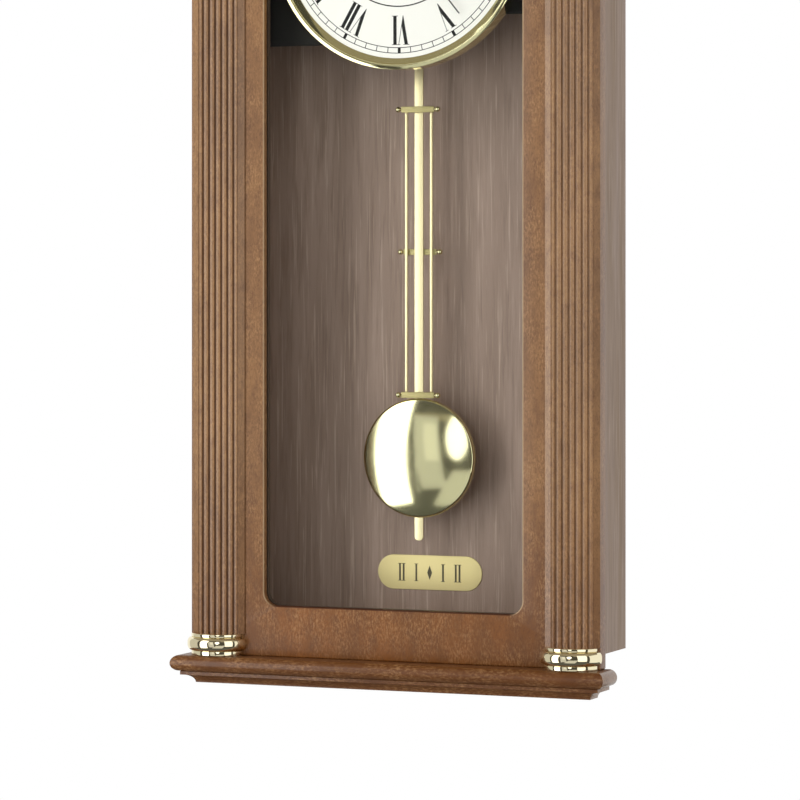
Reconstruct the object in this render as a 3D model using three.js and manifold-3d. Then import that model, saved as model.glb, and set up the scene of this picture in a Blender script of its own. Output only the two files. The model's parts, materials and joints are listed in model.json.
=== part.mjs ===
// A regulator wall clock: a laminate case, a glazed wooden door with fluted pilasters,
// a battery movement with its gear train, and a swinging pendulum.
// Millimetres. +Z is up, the front faces -Y, and the wall is the plane y = 0.
// The origin is where the axis of the hands meets the wall.
import * as THREE from 'three';
import { mergeVertices } from 'three/addons/utils/BufferGeometryUtils.js';
import Module from 'manifold-3d';

const wasm = await Module();
wasm.setup();

// Fits and facets
const GAP = 0.3; // between neighbours that don't turn on each other
const RUNNING = 0.15; // radial clearance of a turning pivot
const WELD = 0.5; // how far joined solids reach into each other
const CORNER_STEPS = 3;
const ROUND_STEPS = 6;

// Door
const DOOR_WIDTH = 330;
const DOOR_TOP = 150.5;
const DOOR_BOTTOM = -545;
const DOOR_THICKNESS = 12;
const DOOR_GAP = 0.5; // between the case and the closed door
const WINDOW_WIDTH = 208.4;
const WINDOW_TOP = 112;
const WINDOW_BOTTOM = -506.5;
const WINDOW_RADIUS = 10;
const GLASS_THICKNESS = 2.5;
const GLASS_SETBACK = 5; // from the door's front to the glass
const GLASS_LAP = 6; // the glass is larger than the window by this on each side

// Pilasters and their brass rings
const PILASTER_WIDTH = 44.6;
const PILASTER_PROJECTION = 2.8;
const PILASTER_BOW = 2.6; // exponent of the bowed plan: 2 is an ellipse
const FLUTE_COUNT = 6;
const FLUTE_PITCH = 5.1;
const FLUTE_WIDTH = 2.4;
const FLUTE_DEPTH = 1.4;
const FLUTE_STEPS = 4;
const FLANK_STEPS = 5;
const RING_WIDTH = 41.4;
const RING_PROJECTION = 17;
const RING_BOW = 2;
const RING_FOOT = 4.2;
const RING_TORUS = 8.3;
const RING_COLLAR = 3.9;
const RING_BULGE = 2.7; // the torus stands this much proud of the foot and collar
const RING_NECK = 0.6; // depth of the two quirks beside the torus
const RING_STEPS = 16;
const TORUS_STEPS = 6;

// Base and cornice mouldings
const RETURN_INSET = 11; // the returns stand this much less proud than the front
const BASE = { nose: 20, noseHeight: 12, fillet: 14, filletHeight: 3, foot: 5, coveHeight: 6.2 };
const CORNICE = { nose: 22, noseHeight: 11, fillet: 16.5, filletHeight: 4, foot: 4, coveHeight: 12 };
const NOSE_STEPS = 8;
const COVE_STEPS = 4;

// Case
const CASE_DEPTH = 69.5;
const CASE_INSET = 8.5; // the door overhangs the case by this on each side
const CASE_TOP = 142;
const CASE_BOTTOM = -536.5;
const CASE_WALL = 8;
const BACK_THICKNESS = 4;
const HANGER_DROP = 22; // from the case's top board to the keyhole's round end
const HANGER_WIDTH = 44;
const HANGER_TALL = 30;
const HANGER_THICKNESS = 1.5;
const KEYHOLE_HEAD = 4.8; // radius that passes a screw's head
const KEYHOLE_NECK = 2.4; // radius that holds its shank
const KEYHOLE_RISE = 9;
const KEYHOLE_RELIEF = 3; // the panel behind the plate is cut away by this much more

// Hinges and catch
const HINGE_HEIGHTS = { upper: 80, lower: -475 };
const HINGE_PIN = 1.4;
const HINGE_BARREL = 3;
const HINGE_BARREL_LENGTH = 10;
const HINGE_LEAF = 1.2;
const HINGE_LEAF_LENGTH = 24;
const HINGE_LEAF_REACH = 34;
const HINGE_SETBACK = 4; // from the door's back to the pin's axis
const HINGE_OFFSET = 4; // from the case's side to the pin's axis
const CATCH_HEIGHT = -200;
const CATCH_LENGTH = 44;
const CATCH_WIDTH = 16;
const CATCH_DEPTH = 12;
const STRIKE_THICKNESS = 0.8;

// Dial and hands
const BOARD_FRONT = -56;
const BOARD_THICKNESS = 4;
const BOARD_BOTTOM = -82;
const BOARD_NOTCH_LEFT = 62; // the lower right corner is cut away from here
const BOARD_NOTCH_TOP = -62;
const CLEAT_WIDTH = 12;
const DIAL_RAISE = 10; // the dial is a shallow pan: its face stands this far in front of the board
const DIAL_SHEET = 1;
const DIAL_LAP = 1.2; // of the bezel over the dial's edge
const DIAL_STEPS = 36;
const BEZEL_CLEARANCE = 1.6; // between the bezel and the window's sides
const BEZEL_WIDTH = 8.7;
const BEZEL_RISE = 4.2; // of the rim in front of the dial
const BEZEL_RIM = 4; // width of the rounded rim
const BEZEL_LIP = 0.5; // height of the inner edge above the dial
const BEZEL_STEPS = 56;
const BUSH_RADIUS = 4.9;
const DIAL_NUT = 8; // corner radius of the hexagon
const DIAL_NUT_HEIGHT = 1.6;
const HAND_REACH = 14.3; // from the minute hand's point to the bezel
const HOUR_HAND_SHORTER = 25; // than the minute hand
const HAND_THICKNESS = 0.6;
const HAND_TAIL = 14;
const HAND_HUB = 2.2; // width of the ring round a hand's eye
const HAND_SHOULDER = 0.62; // share of a hand's length where its spade begins
const HAND_NEEDLE = 0.45; // half width of the point beyond the spade
const HOUR_WAIST = 1.5;
const HOUR_SPADE = 4.2;
const MINUTE_WAIST = 1.2;
const MINUTE_SPADE = 3.2;
const HAND_NUT_RADIUS = 2.8;
const HAND_NUT_CROWN = 1.7;
const HAND_NUT_HEIGHT = 1.8;
const HOUR_SHOWN = 10;
const MINUTE_SHOWN = 23.5;

// Movement: the shell is drawn from the hands' axis
const SHELL_HALF_WIDTH = 37;
const SHELL_TOP = 34;
const SHELL_BOTTOM = -44;
const SHELL_RADIUS = 3;
const SHELL_WALL = 1.5;
const SHELL_DEPTH = 20;
const COVER_THICKNESS = 1.5;
const POST_RADIUS = 2;
const POST_INSET = 5;
const PLATE_THICKNESS = 1.2;
const PLATE_BACK_SPACE = 3.3; // between the train plate and the back cover
const ARBOR = 1; // radius of the plain arbors
const MINUTE_ARBOR = 1.5;
const HOUR_PIPE = 3;
const HOUR_BORE = 1.8;
const WHEEL_THICKNESS = 1.2;
const PINION_THICKNESS = 2;
const WHEEL_SPACE = 0.8; // axial room between wheels
const MOTION_MODULE = 0.5; // cannon pinion and minute wheel
const HOUR_MODULE = 0.48; // minute pinion and hour wheel
const TRAIN_MODULE = 0.5; // third pinion and centre wheel
const ROTOR_MODULE = 0.4; // rotor pinion and third wheel
const CANNON_TEETH = 12;
const MINUTE_TEETH = 36;
const MINUTE_PINION_TEETH = 10;
const HOUR_TEETH = 40;
const CENTRE_TEETH = 60;
const THIRD_PINION_TEETH = 8;
const THIRD_TEETH = 64;
const ROTOR_TEETH = 8;
const TOOTH = { addendum: 0.75, dedendum: 1.05, tip: 0.11, root: 0.3 };
const MINUTE_WHEEL_ANGLE = 150;
const THIRD_ANGLE = -35;
const ROTOR_ANGLE = -80;
const ROTOR_RADIUS = 7;
const ROTOR_THICKNESS = 4;
const COIL = { inset: 7, length: 22, height: -24, core: 5, flange: 6.2, cheek: 1.6 };
const CIRCUIT = { inset: 10, width: 22, rise: 2.5, tall: 9.5, thickness: 1.5 };
const BATTERY_RADIUS = 7.1;
const BATTERY_LENGTH = 49.5;
const BATTERY_NUB = 1.3;
const BATTERY_NUB_RADIUS = 2.7;
const BATTERY_HEIGHT = 24.2;
const CONTACT_THICKNESS = 0.6;
const CONTACT_WIDTH = 9;
const RIB_THICKNESS = 1.2;
const KNOB_RADIUS = 6;
const KNOB_HEIGHT = 4.2;
const KNOB_LOBES = 14;
const KNOB_LOBE_DEPTH = 0.5;

// Pendulum
const PIVOT_HEIGHT = -24;
const PIVOT_RADIUS = 1.5;
const PIVOT_BOSS = 4;
const PIVOT_BOSS_HEIGHT = 2;
const PIVOT_HEAD = 3;
const PENDULUM_PLANE = -26.4; // middle of the rod's thickness
const ROD_WIDTH = 7;
const ROD_THICKNESS = 1.2;
const ROD_TOP = -45;
const ROD_TIP = -458.3;
const ROD_TIP_LENGTH = 3.2;
const HANGER_PEG_HEIGHT = -50;
const HANGER_PEG = 1.5;
const HANGER_ARM_WIDTH = 8;
const HANGER_ARM_THICKNESS = 2;
const HANGER_EYE = 5;
const HANGER_END = -57;
const MAGNET_HEIGHT = -38;
const MAGNET_RADIUS = 4.6;
const MAGNET_THICKNESS = 3.6;
const WIRE_SPACING = 20.4;
const WIRE_RADIUS = 1;
const WIRE_OVERRUN = 2;
const BAR_HEIGHTS = { upper: -130.8, middle: -239, lower: -347.7 };
const BAR_LENGTH = 24;
const BAR_TALL = 4.6;
const BAR_THICKNESS = 2;
const BAR_NECK = 1.6;
const BAR_FINIAL = 1.7;
const BOB_HEIGHT = -395.5;
const BOB_RADIUS = 45.6;
const BOB_RIM = 4; // straight part of the rim
const BOB_EDGE = 4.5; // radius of the rolled edge
const BOB_CROWN_ANGLE = 17.5; // slope of the crown where the rolled edge ends
const BOB_WALL = 0.8;
const BOB_PLATE = 1;
const BOB_STEPS = 40;
const CROWN_STEPS = 4;
const EDGE_STEPS = 3;
const BOB_SCREW = 3;
const BOB_SCREW_HEIGHT = 1.6;
const BEAT_PLATE = { width: 85.7, tall: 26.4, thickness: 0.8, height: -484.3 };

// Places worked out from those sizes
const DOOR_BACK = -CASE_DEPTH - DOOR_GAP;
const DOOR_FRONT = DOOR_BACK - DOOR_THICKNESS;
const DOOR_EDGE = DOOR_WIDTH / 2;
const WINDOW_EDGE = WINDOW_WIDTH / 2;
const GLASS_FRONT = DOOR_FRONT + GLASS_SETBACK + GAP;
const GLASS_BACK = GLASS_FRONT + GLASS_THICKNESS;
const PILASTER_CENTRE = DOOR_EDGE - PILASTER_WIDTH / 2;
const RING_HEIGHT = RING_FOOT + RING_TORUS + RING_COLLAR;
const CASE_EDGE = DOOR_EDGE - CASE_INSET;
const CASE_INNER = CASE_EDGE - CASE_WALL;
const HANGER_HEIGHT = CASE_TOP - CASE_WALL - HANGER_DROP;
const BOARD_BACK = BOARD_FRONT + BOARD_THICKNESS;
const DIAL_FRONT = BOARD_FRONT - DIAL_RAISE;
const BEZEL_RADIUS = WINDOW_EDGE - BEZEL_CLEARANCE;
const BEZEL_OPENING = BEZEL_RADIUS - BEZEL_WIDTH;
const DIAL_RADIUS = BEZEL_OPENING + DIAL_LAP;
const MINUTE_HAND = BEZEL_OPENING - HAND_REACH;
const HOUR_HAND = MINUTE_HAND - HOUR_HAND_SHORTER;
const SHELL_BACK = BOARD_BACK + SHELL_DEPTH;
const SHELL_INSIDE = BOARD_BACK + SHELL_WALL;
const COVER_BACK = SHELL_BACK + COVER_THICKNESS;
const PLATE_BACK = SHELL_BACK - PLATE_BACK_SPACE;
const PLATE_FRONT = PLATE_BACK - PLATE_THICKNESS;
const BUSH_FRONT = DIAL_FRONT - DIAL_NUT_HEIGHT - GAP;
const HINGE_X = -CASE_EDGE - HINGE_OFFSET;
const HINGE_Y = DOOR_BACK + HINGE_SETBACK;
const ROD_FRONT = PENDULUM_PLANE - ROD_THICKNESS / 2;
const ROD_BACK = PENDULUM_PLANE + ROD_THICKNESS / 2;

const FINISH = {
  walnut: { color: 0x80522f, roughness: 0.45, metalness: 0 },
  laminate: { color: 0x8c7d70, roughness: 0.55, metalness: 0 },
  brass: { color: 0xd9c27a, roughness: 0.12, metalness: 1 },
  satinBrass: { color: 0xc9b26a, roughness: 0.35, metalness: 1 },
  steel: { color: 0xb8babd, roughness: 0.35, metalness: 1 },
  copper: { color: 0xa8582e, roughness: 0.4, metalness: 1 },
  blackBoard: { color: 0x161514, roughness: 0.8, metalness: 0 },
  blackPaint: { color: 0x121212, roughness: 0.4, metalness: 0.2 },
  dialWhite: { color: 0xfdfcf6, roughness: 0.5, metalness: 0 },
  plastic: { color: 0x2b2c2e, roughness: 0.5, metalness: 0 },
  wheelPlastic: { color: 0xe6e2d4, roughness: 0.5, metalness: 0 },
  circuit: { color: 0x1f5a34, roughness: 0.5, metalness: 0 },
  battery: { color: 0x3a4a5c, roughness: 0.4, metalness: 0.4 },
  magnet: { color: 0x55575a, roughness: 0.5, metalness: 0.8 },
  glass: { color: 0xf2f6f5, roughness: 0.02, metalness: 0, transparent: true, opacity: 0.15 },
};

// Solids

// Shared vertices merged, flat triangles dropped and all faces turned outwards.
function closed(geometry) {
  geometry.deleteAttribute('normal');
  geometry.deleteAttribute('uv');
  const whole = mergeVertices(geometry, 1e-4);
  const old = whole.index.array;
  const place = whole.getAttribute('position');
  const [a, b, c] = [new THREE.Vector3(), new THREE.Vector3(), new THREE.Vector3()];
  const faces = [];
  let volume = 0;
  for (let i = 0; i < old.length; i += 3) {
    const face = [old[i], old[i + 1], old[i + 2]];
    if (new Set(face).size < 3) continue;
    faces.push(face);
    a.fromBufferAttribute(place, face[0]);
    b.fromBufferAttribute(place, face[1]);
    c.fromBufferAttribute(place, face[2]);
    volume += a.dot(b.cross(c));
  }
  const turned = volume < 0 ? faces.map(([p, q, r]) => [p, r, q]) : faces;
  whole.setIndex(turned.flat());
  return whole;
}

function manifold(geometry) {
  const whole = closed(geometry);
  const vertProperties = new Float32Array(whole.getAttribute('position').array);
  const triVerts = new Uint32Array(whole.index.array);
  return new wasm.Manifold(new wasm.Mesh({ numProp: 3, vertProperties, triVerts }));
}

function unwrapped(body) {
  const mesh = body.getMesh();
  const geometry = new THREE.BufferGeometry();
  geometry.setAttribute('position', new THREE.BufferAttribute(mesh.vertProperties, 3));
  geometry.setIndex(new THREE.BufferAttribute(mesh.triVerts, 1));
  return geometry;
}

function join(...geometries) {
  return unwrapped(geometries.map(manifold).reduce((whole, next) => whole.add(next)));
}

function cut(geometry, ...tools) {
  return unwrapped(tools.map(manifold).reduce((whole, tool) => whole.subtract(tool), manifold(geometry)));
}

// An outline in the x-z plane, thickened from its back face towards the viewer.
function slab(outline, back, thickness, steps = ROUND_STEPS) {
  const options = { depth: thickness, bevelEnabled: false, curveSegments: steps };
  return new THREE.ExtrudeGeometry(outline, options).rotateX(Math.PI / 2).translate(0, back, 0);
}

// An outline in the x-y plane, raised from a level.
function pillar(outline, low, height, steps = ROUND_STEPS) {
  const options = { depth: height, bevelEnabled: false, curveSegments: steps };
  return new THREE.ExtrudeGeometry(outline, options).translate(0, 0, low);
}

function block(left, right, front, back, low, high) {
  const box = new THREE.BoxGeometry(right - left, back - front, high - low);
  return box.translate((left + right) / 2, (front + back) / 2, (low + high) / 2);
}

// A profile of [radius, y] points, turned about the y axis.
function turned(profile, steps) {
  return new THREE.LatheGeometry(profile.map(([r, y]) => new THREE.Vector2(r, y)), steps);
}

// Rings of equal point counts, skinned one to the next and capped at both ends.
function loft(rings) {
  const count = rings[0].length;
  const points = rings.flat();
  const faces = [];
  for (let level = 0; level + 1 < rings.length; level += 1) {
    for (let k = 0; k < count; k += 1) {
      const next = (k + 1) % count;
      const [low, high] = [level * count, (level + 1) * count];
      faces.push(low + k, low + next, high + next, low + k, high + next, high + k);
    }
  }
  const last = (rings.length - 1) * count;
  for (let k = 1; k + 1 < count; k += 1) {
    faces.push(0, k + 1, k, last, last + k, last + k + 1);
  }
  const geometry = new THREE.BufferGeometry().setFromPoints(points);
  geometry.setIndex(faces);
  return geometry;
}

function rectangle(left, right, low, high, radius = 0, Outline = THREE.Shape) {
  const path = new Outline();
  if (radius === 0) {
    path.moveTo(left, low);
    path.lineTo(right, low);
    path.lineTo(right, high);
    path.lineTo(left, high);
    return path;
  }
  const quarter = Math.PI / 2;
  path.absarc(right - radius, low + radius, radius, -quarter, 0);
  path.absarc(right - radius, high - radius, radius, 0, quarter);
  path.absarc(left + radius, high - radius, radius, quarter, 2 * quarter);
  path.absarc(left + radius, low + radius, radius, 2 * quarter, 3 * quarter);
  return path;
}

function circle(x, y, radius, Outline = THREE.Shape) {
  return new Outline().absarc(x, y, radius, 0, 2 * Math.PI);
}

function polygon(radius, sides) {
  const points = Array.from({ length: sides }, (_, k) => {
    const angle = (2 * Math.PI * k) / sides;
    return new THREE.Vector2(radius * Math.cos(angle), radius * Math.sin(angle));
  });
  return new THREE.Shape(points);
}

function withHoles(outline, ...holes) {
  outline.holes.push(...holes);
  return outline;
}

// A round bar along y.
function bar(radius, back, front, x = 0, z = 0) {
  return slab(circle(x, z, radius), back, back - front);
}

function piece(name, geometry, finish) {
  const mesh = new THREE.Mesh(closed(geometry), new THREE.MeshStandardMaterial(finish));
  mesh.name = name;
  return mesh;
}

function placed(mesh, x, z) {
  mesh.position.set(x, 0, z);
  return mesh;
}

function mirrored(maker) {
  return [maker('left', -1), maker('right', 1)];
}

const degrees = THREE.MathUtils.degToRad;

// Case

function backPanel() {
  const outline = rectangle(-CASE_INNER, CASE_INNER, CASE_BOTTOM + CASE_WALL, CASE_TOP - CASE_WALL);
  const wide = KEYHOLE_HEAD + KEYHOLE_RELIEF;
  const low = HANGER_HEIGHT - wide;
  const high = HANGER_HEIGHT + KEYHOLE_RISE + wide;
  const relief = rectangle(-wide, wide, low, high, wide - GAP, THREE.Path);
  return piece('back_panel', slab(withHoles(outline, relief), 0, BACK_THICKNESS), FINISH.laminate);
}

function hangerPlate() {
  const low = HANGER_HEIGHT - HANGER_TALL / 2;
  const outline = rectangle(-HANGER_WIDTH / 2, HANGER_WIDTH / 2, low, low + HANGER_TALL, HANGER_THICKNESS);
  const slot = Math.asin(KEYHOLE_NECK / KEYHOLE_HEAD);
  const keyhole = new THREE.Path();
  keyhole.absarc(0, HANGER_HEIGHT, KEYHOLE_HEAD, Math.PI / 2 + slot, Math.PI / 2 - slot + 2 * Math.PI);
  keyhole.absarc(0, HANGER_HEIGHT + KEYHOLE_RISE, KEYHOLE_NECK, 0, Math.PI);
  const plate = slab(withHoles(outline, keyhole), -BACK_THICKNESS, HANGER_THICKNESS);
  return piece('hanger_plate', plate, FINISH.steel);
}

function caseSide(side, sign) {
  const [inner, outer] = [sign * CASE_INNER, sign * CASE_EDGE];
  const [left, right] = [Math.min(inner, outer), Math.max(inner, outer)];
  const board = block(left, right, -CASE_DEPTH, 0, CASE_BOTTOM, CASE_TOP);
  return piece(`case_side_${side}`, board, FINISH.laminate);
}

function caseShelf(name, low) {
  const board = block(-CASE_INNER, CASE_INNER, -CASE_DEPTH, 0, low, low + CASE_WALL);
  return piece(name, board, FINISH.laminate);
}

function boardCleat(side, sign) {
  const [inner, outer] = [sign * (CASE_INNER - CLEAT_WIDTH), sign * CASE_INNER];
  const [left, right] = [Math.min(inner, outer), Math.max(inner, outer)];
  const high = CASE_TOP - CASE_WALL;
  const batten = block(left, right, BOARD_BACK, BOARD_BACK + CLEAT_WIDTH, BOARD_BOTTOM, high);
  return piece(`board_cleat_${side}`, batten, FINISH.laminate);
}

function beatPlate() {
  const { width, tall, thickness, height } = BEAT_PLATE;
  const radius = tall / 2;
  const outline = rectangle(-width / 2, width / 2, height - radius, height + radius, radius - GAP);
  return piece('beat_plate', slab(outline, -BACK_THICKNESS, thickness), FINISH.satinBrass);
}

// The lower half of a lift-off hinge: leaf on the case side, barrel and pin.
function hingeCase(name, height) {
  const seat = height - GAP;
  const low = seat - HINGE_BARREL_LENGTH;
  const barrel = pillar(circle(HINGE_X, HINGE_Y, HINGE_BARREL), low, HINGE_BARREL_LENGTH);
  const pin = pillar(circle(HINGE_X, HINGE_Y, HINGE_PIN), seat - WELD, HINGE_BARREL_LENGTH);
  const leaf = block(-CASE_EDGE - HINGE_LEAF, -CASE_EDGE, HINGE_Y, HINGE_Y + HINGE_LEAF_REACH,
    seat - HINGE_LEAF_LENGTH, seat);
  return piece(`hinge_case_${name}`, join(barrel, pin, leaf), FINISH.steel);
}

function catchMagnet() {
  const front = DOOR_BACK + STRIKE_THICKNESS + GAP;
  const magnet = block(CASE_INNER - CATCH_WIDTH, CASE_INNER, front, front + CATCH_DEPTH,
    CATCH_HEIGHT, CATCH_HEIGHT + CATCH_LENGTH);
  return piece('catch_magnet', magnet, FINISH.plastic);
}

// Dial

function dialBoard() {
  const [left, right] = [-CASE_INNER + GAP, CASE_INNER - GAP];
  const outline = new THREE.Shape();
  outline.moveTo(left, BOARD_BOTTOM);
  outline.lineTo(BOARD_NOTCH_LEFT, BOARD_BOTTOM);
  outline.lineTo(BOARD_NOTCH_LEFT, BOARD_NOTCH_TOP);
  outline.lineTo(right, BOARD_NOTCH_TOP);
  outline.lineTo(right, CASE_TOP - CASE_WALL - GAP);
  outline.lineTo(left, CASE_TOP - CASE_WALL - GAP);
  withHoles(outline, circle(0, 0, BUSH_RADIUS + GAP, THREE.Path));
  return piece('dial_board', slab(outline, BOARD_BACK, BOARD_THICKNESS), FINISH.blackBoard);
}

// A pan with a rim and a middle boss that both rest on the board.
function dialPlate() {
  const bore = BUSH_RADIUS + GAP;
  const inside = DIAL_RADIUS - DIAL_SHEET;
  const sheetBack = DIAL_FRONT + DIAL_SHEET;
  const profile = [
    [bore, DIAL_FRONT],
    [DIAL_RADIUS, DIAL_FRONT],
    [DIAL_RADIUS, BOARD_FRONT],
    [inside, BOARD_FRONT],
    [inside, sheetBack],
    [DIAL_NUT, sheetBack],
    [DIAL_NUT, BOARD_FRONT],
    [bore, BOARD_FRONT],
    [bore, DIAL_FRONT],
  ];
  return piece('dial_plate', turned(profile, DIAL_STEPS), FINISH.dialWhite);
}

function bezelRing() {
  const front = DIAL_FRONT - BEZEL_RISE;
  const inside = DIAL_RADIUS + GAP;
  const rim = BEZEL_RIM / 2;
  const crest = BEZEL_RADIUS - rim;
  const profile = [
    [inside, BOARD_FRONT],
    [BEZEL_RADIUS, BOARD_FRONT],
    [BEZEL_RADIUS, front + rim],
  ];
  for (let k = 1; k <= EDGE_STEPS; k += 1) {
    const angle = (Math.PI * k) / (EDGE_STEPS + 1);
    profile.push([crest + rim * Math.cos(angle), front + rim - rim * Math.sin(angle)]);
  }
  profile.push(
    [crest - rim, front + rim],
    [BEZEL_OPENING, DIAL_FRONT - BEZEL_LIP],
    [BEZEL_OPENING, DIAL_FRONT - GAP],
    [inside, DIAL_FRONT - GAP],
    [inside, BOARD_FRONT],
  );
  return piece('bezel_ring', turned(profile, BEZEL_STEPS), FINISH.brass);
}

function mountingNut() {
  const outline = withHoles(polygon(DIAL_NUT, 6), circle(0, 0, BUSH_RADIUS + GAP, THREE.Path));
  return piece('mounting_nut', slab(outline, DIAL_FRONT, DIAL_NUT_HEIGHT), FINISH.satinBrass);
}

// Hands, drawn pointing to twelve

function handOutline(length, waist, spade, eye) {
  const shoulder = length * HAND_SHOULDER;
  const neck = shoulder + 2 * spade;
  const hub = eye + HAND_HUB;
  const tail = -HAND_TAIL;
  const outline = new THREE.Shape();
  outline.moveTo(-waist, tail);
  outline.lineTo(waist, tail);
  outline.lineTo(waist, -hub * Math.cos(Math.asin(waist / hub)));
  outline.absarc(0, 0, hub, -Math.acos(waist / hub), Math.acos(waist / hub));
  outline.lineTo(waist, shoulder);
  outline.quadraticCurveTo(spade, shoulder + spade, HAND_NEEDLE, neck);
  outline.lineTo(HAND_NEEDLE, length - HAND_NEEDLE);
  outline.lineTo(0, length);
  outline.lineTo(-HAND_NEEDLE, length - HAND_NEEDLE);
  outline.lineTo(-HAND_NEEDLE, neck);
  outline.quadraticCurveTo(-spade, shoulder + spade, -waist, shoulder);
  outline.absarc(0, 0, hub, Math.PI - Math.acos(waist / hub), Math.PI + Math.acos(waist / hub));
  return withHoles(outline, circle(0, 0, eye, THREE.Path));
}

const HOUR_HAND_BACK = BUSH_FRONT - 2 * GAP;
const MINUTE_HAND_BACK = HOUR_HAND_BACK - HAND_THICKNESS - 3 * GAP;
const HAND_NUT_BACK = MINUTE_HAND_BACK - HAND_THICKNESS - GAP / 2;

function hourHand() {
  const outline = handOutline(HOUR_HAND, HOUR_WAIST, HOUR_SPADE, HOUR_PIPE + GAP);
  const hand = piece('hour_hand', slab(outline, HOUR_HAND_BACK, HAND_THICKNESS), FINISH.blackPaint);
  hand.rotation.y = degrees((HOUR_SHOWN + MINUTE_SHOWN / 60) * 30);
  return hand;
}

function minuteHand() {
  const outline = handOutline(MINUTE_HAND, MINUTE_WAIST, MINUTE_SPADE, MINUTE_ARBOR + GAP);
  const hand = piece('minute_hand', slab(outline, MINUTE_HAND_BACK, HAND_THICKNESS), FINISH.blackPaint);
  hand.rotation.y = degrees(MINUTE_SHOWN * 6);
  return hand;
}

function handNut() {
  const front = HAND_NUT_BACK - HAND_NUT_HEIGHT;
  const profile = [[0, front], [HAND_NUT_CROWN, front + GAP], [HAND_NUT_RADIUS, front + 3 * GAP],
    [HAND_NUT_RADIUS, HAND_NUT_BACK], [0, HAND_NUT_BACK]];
  return piece('hand_nut', turned(profile, 2 * ROUND_STEPS), FINISH.brass);
}

// Gear train

// A spur gear's outline: straight-sided teeth, slim enough to run with backlash.
function gearOutline(teeth, module, phase) {
  const pitch = (2 * Math.PI) / teeth;
  const radius = (teeth * module) / 2;
  const [tip, root] = [radius + TOOTH.addendum * module, radius - TOOTH.dedendum * module];
  const points = [];
  for (let k = 0; k < teeth; k += 1) {
    const middle = phase + k * pitch;
    const corners = [[root, -TOOTH.root], [tip, -TOOTH.tip], [tip, TOOTH.tip], [root, TOOTH.root]];
    for (const [r, share] of corners) {
      const angle = middle + share * pitch;
      points.push(new THREE.Vector2(r * Math.cos(angle), r * Math.sin(angle)));
    }
  }
  return new THREE.Shape(points);
}

function gear(teeth, module, phase, back, thickness, ...holes) {
  return slab(withHoles(gearOutline(teeth, module, phase), ...holes), back, thickness);
}

function centreDistance(teeth, otherTeeth, module) {
  return ((teeth + otherTeeth) * module) / 2;
}

// The phase that puts a gear's gaps on the teeth of the gear that it runs with.
function meshPhase(phase, teeth, otherTeeth, direction) {
  const pitches = (phase - direction) / ((2 * Math.PI) / teeth);
  return direction + Math.PI - ((2 * Math.PI) / otherTeeth) * (pitches + 0.5);
}

function step(from, distance, angle) {
  return { x: from.x + distance * Math.cos(angle), z: from.z + distance * Math.sin(angle) };
}

const CENTRE = { x: 0, z: 0 };
const MINUTE_DIRECTION = degrees(MINUTE_WHEEL_ANGLE);
const THIRD_DIRECTION = degrees(THIRD_ANGLE);
const ROTOR_DIRECTION = degrees(ROTOR_ANGLE);
const MINUTE_AT = step(CENTRE, centreDistance(CANNON_TEETH, MINUTE_TEETH, MOTION_MODULE), MINUTE_DIRECTION);
const THIRD_DISTANCE = centreDistance(CENTRE_TEETH, THIRD_PINION_TEETH, TRAIN_MODULE);
const THIRD_AT = step(CENTRE, THIRD_DISTANCE, THIRD_DIRECTION);
const ROTOR_AT = step(THIRD_AT, centreDistance(THIRD_TEETH, ROTOR_TEETH, ROTOR_MODULE), ROTOR_DIRECTION);
const MINUTE_PHASE = meshPhase(0, CANNON_TEETH, MINUTE_TEETH, MINUTE_DIRECTION);
const HOUR_PHASE = meshPhase(0, MINUTE_PINION_TEETH, HOUR_TEETH, MINUTE_DIRECTION + Math.PI);
const THIRD_PHASE = meshPhase(0, CENTRE_TEETH, THIRD_PINION_TEETH, THIRD_DIRECTION);
const ROTOR_PHASE = meshPhase(0, THIRD_TEETH, ROTOR_TEETH, ROTOR_DIRECTION);

// Levels of the wheels, from the front wall backwards
const HOUR_LEVEL = SHELL_INSIDE + GAP + WHEEL_THICKNESS;
const MINUTE_LEVEL = HOUR_LEVEL + WHEEL_SPACE + WHEEL_THICKNESS;
const CENTRE_LEVEL = MINUTE_LEVEL + WHEEL_SPACE + WHEEL_THICKNESS;
const THIRD_LEVEL = CENTRE_LEVEL + WHEEL_SPACE + WHEEL_THICKNESS;
const ROTOR_LEVEL = THIRD_LEVEL + WHEEL_SPACE + ROTOR_THICKNESS;
const FRONT_PIVOT = BOARD_BACK + SHELL_WALL / 2;
const REAR_PIVOT = PLATE_BACK + GAP;

function hourWheel() {
  const bore = circle(0, 0, HOUR_BORE, THREE.Path);
  const wheel = gear(HOUR_TEETH, HOUR_MODULE, HOUR_PHASE, HOUR_LEVEL, WHEEL_THICKNESS, bore);
  const tube = withHoles(circle(0, 0, HOUR_PIPE), circle(0, 0, HOUR_BORE, THREE.Path));
  const front = HOUR_HAND_BACK - HAND_THICKNESS - GAP;
  const pipe = slab(tube, HOUR_LEVEL, HOUR_LEVEL - front);
  return piece('hour_wheel', join(wheel, pipe), FINISH.wheelPlastic);
}

function centreWheelArbor() {
  const cannonFront = HOUR_LEVEL + GAP;
  const cannon = gear(CANNON_TEETH, MOTION_MODULE, 0, CENTRE_LEVEL - WHEEL_THICKNESS + WELD,
    CENTRE_LEVEL - WHEEL_THICKNESS + WELD - cannonFront);
  const wheel = gear(CENTRE_TEETH, TRAIN_MODULE, 0, CENTRE_LEVEL, WHEEL_THICKNESS);
  const arbor = bar(MINUTE_ARBOR, CENTRE_LEVEL, HAND_NUT_BACK);
  const pivot = bar(ARBOR, COVER_BACK + GAP, CENTRE_LEVEL - WELD);
  return piece('centre_wheel_arbor', join(cannon, wheel, arbor, pivot), FINISH.wheelPlastic);
}

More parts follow.
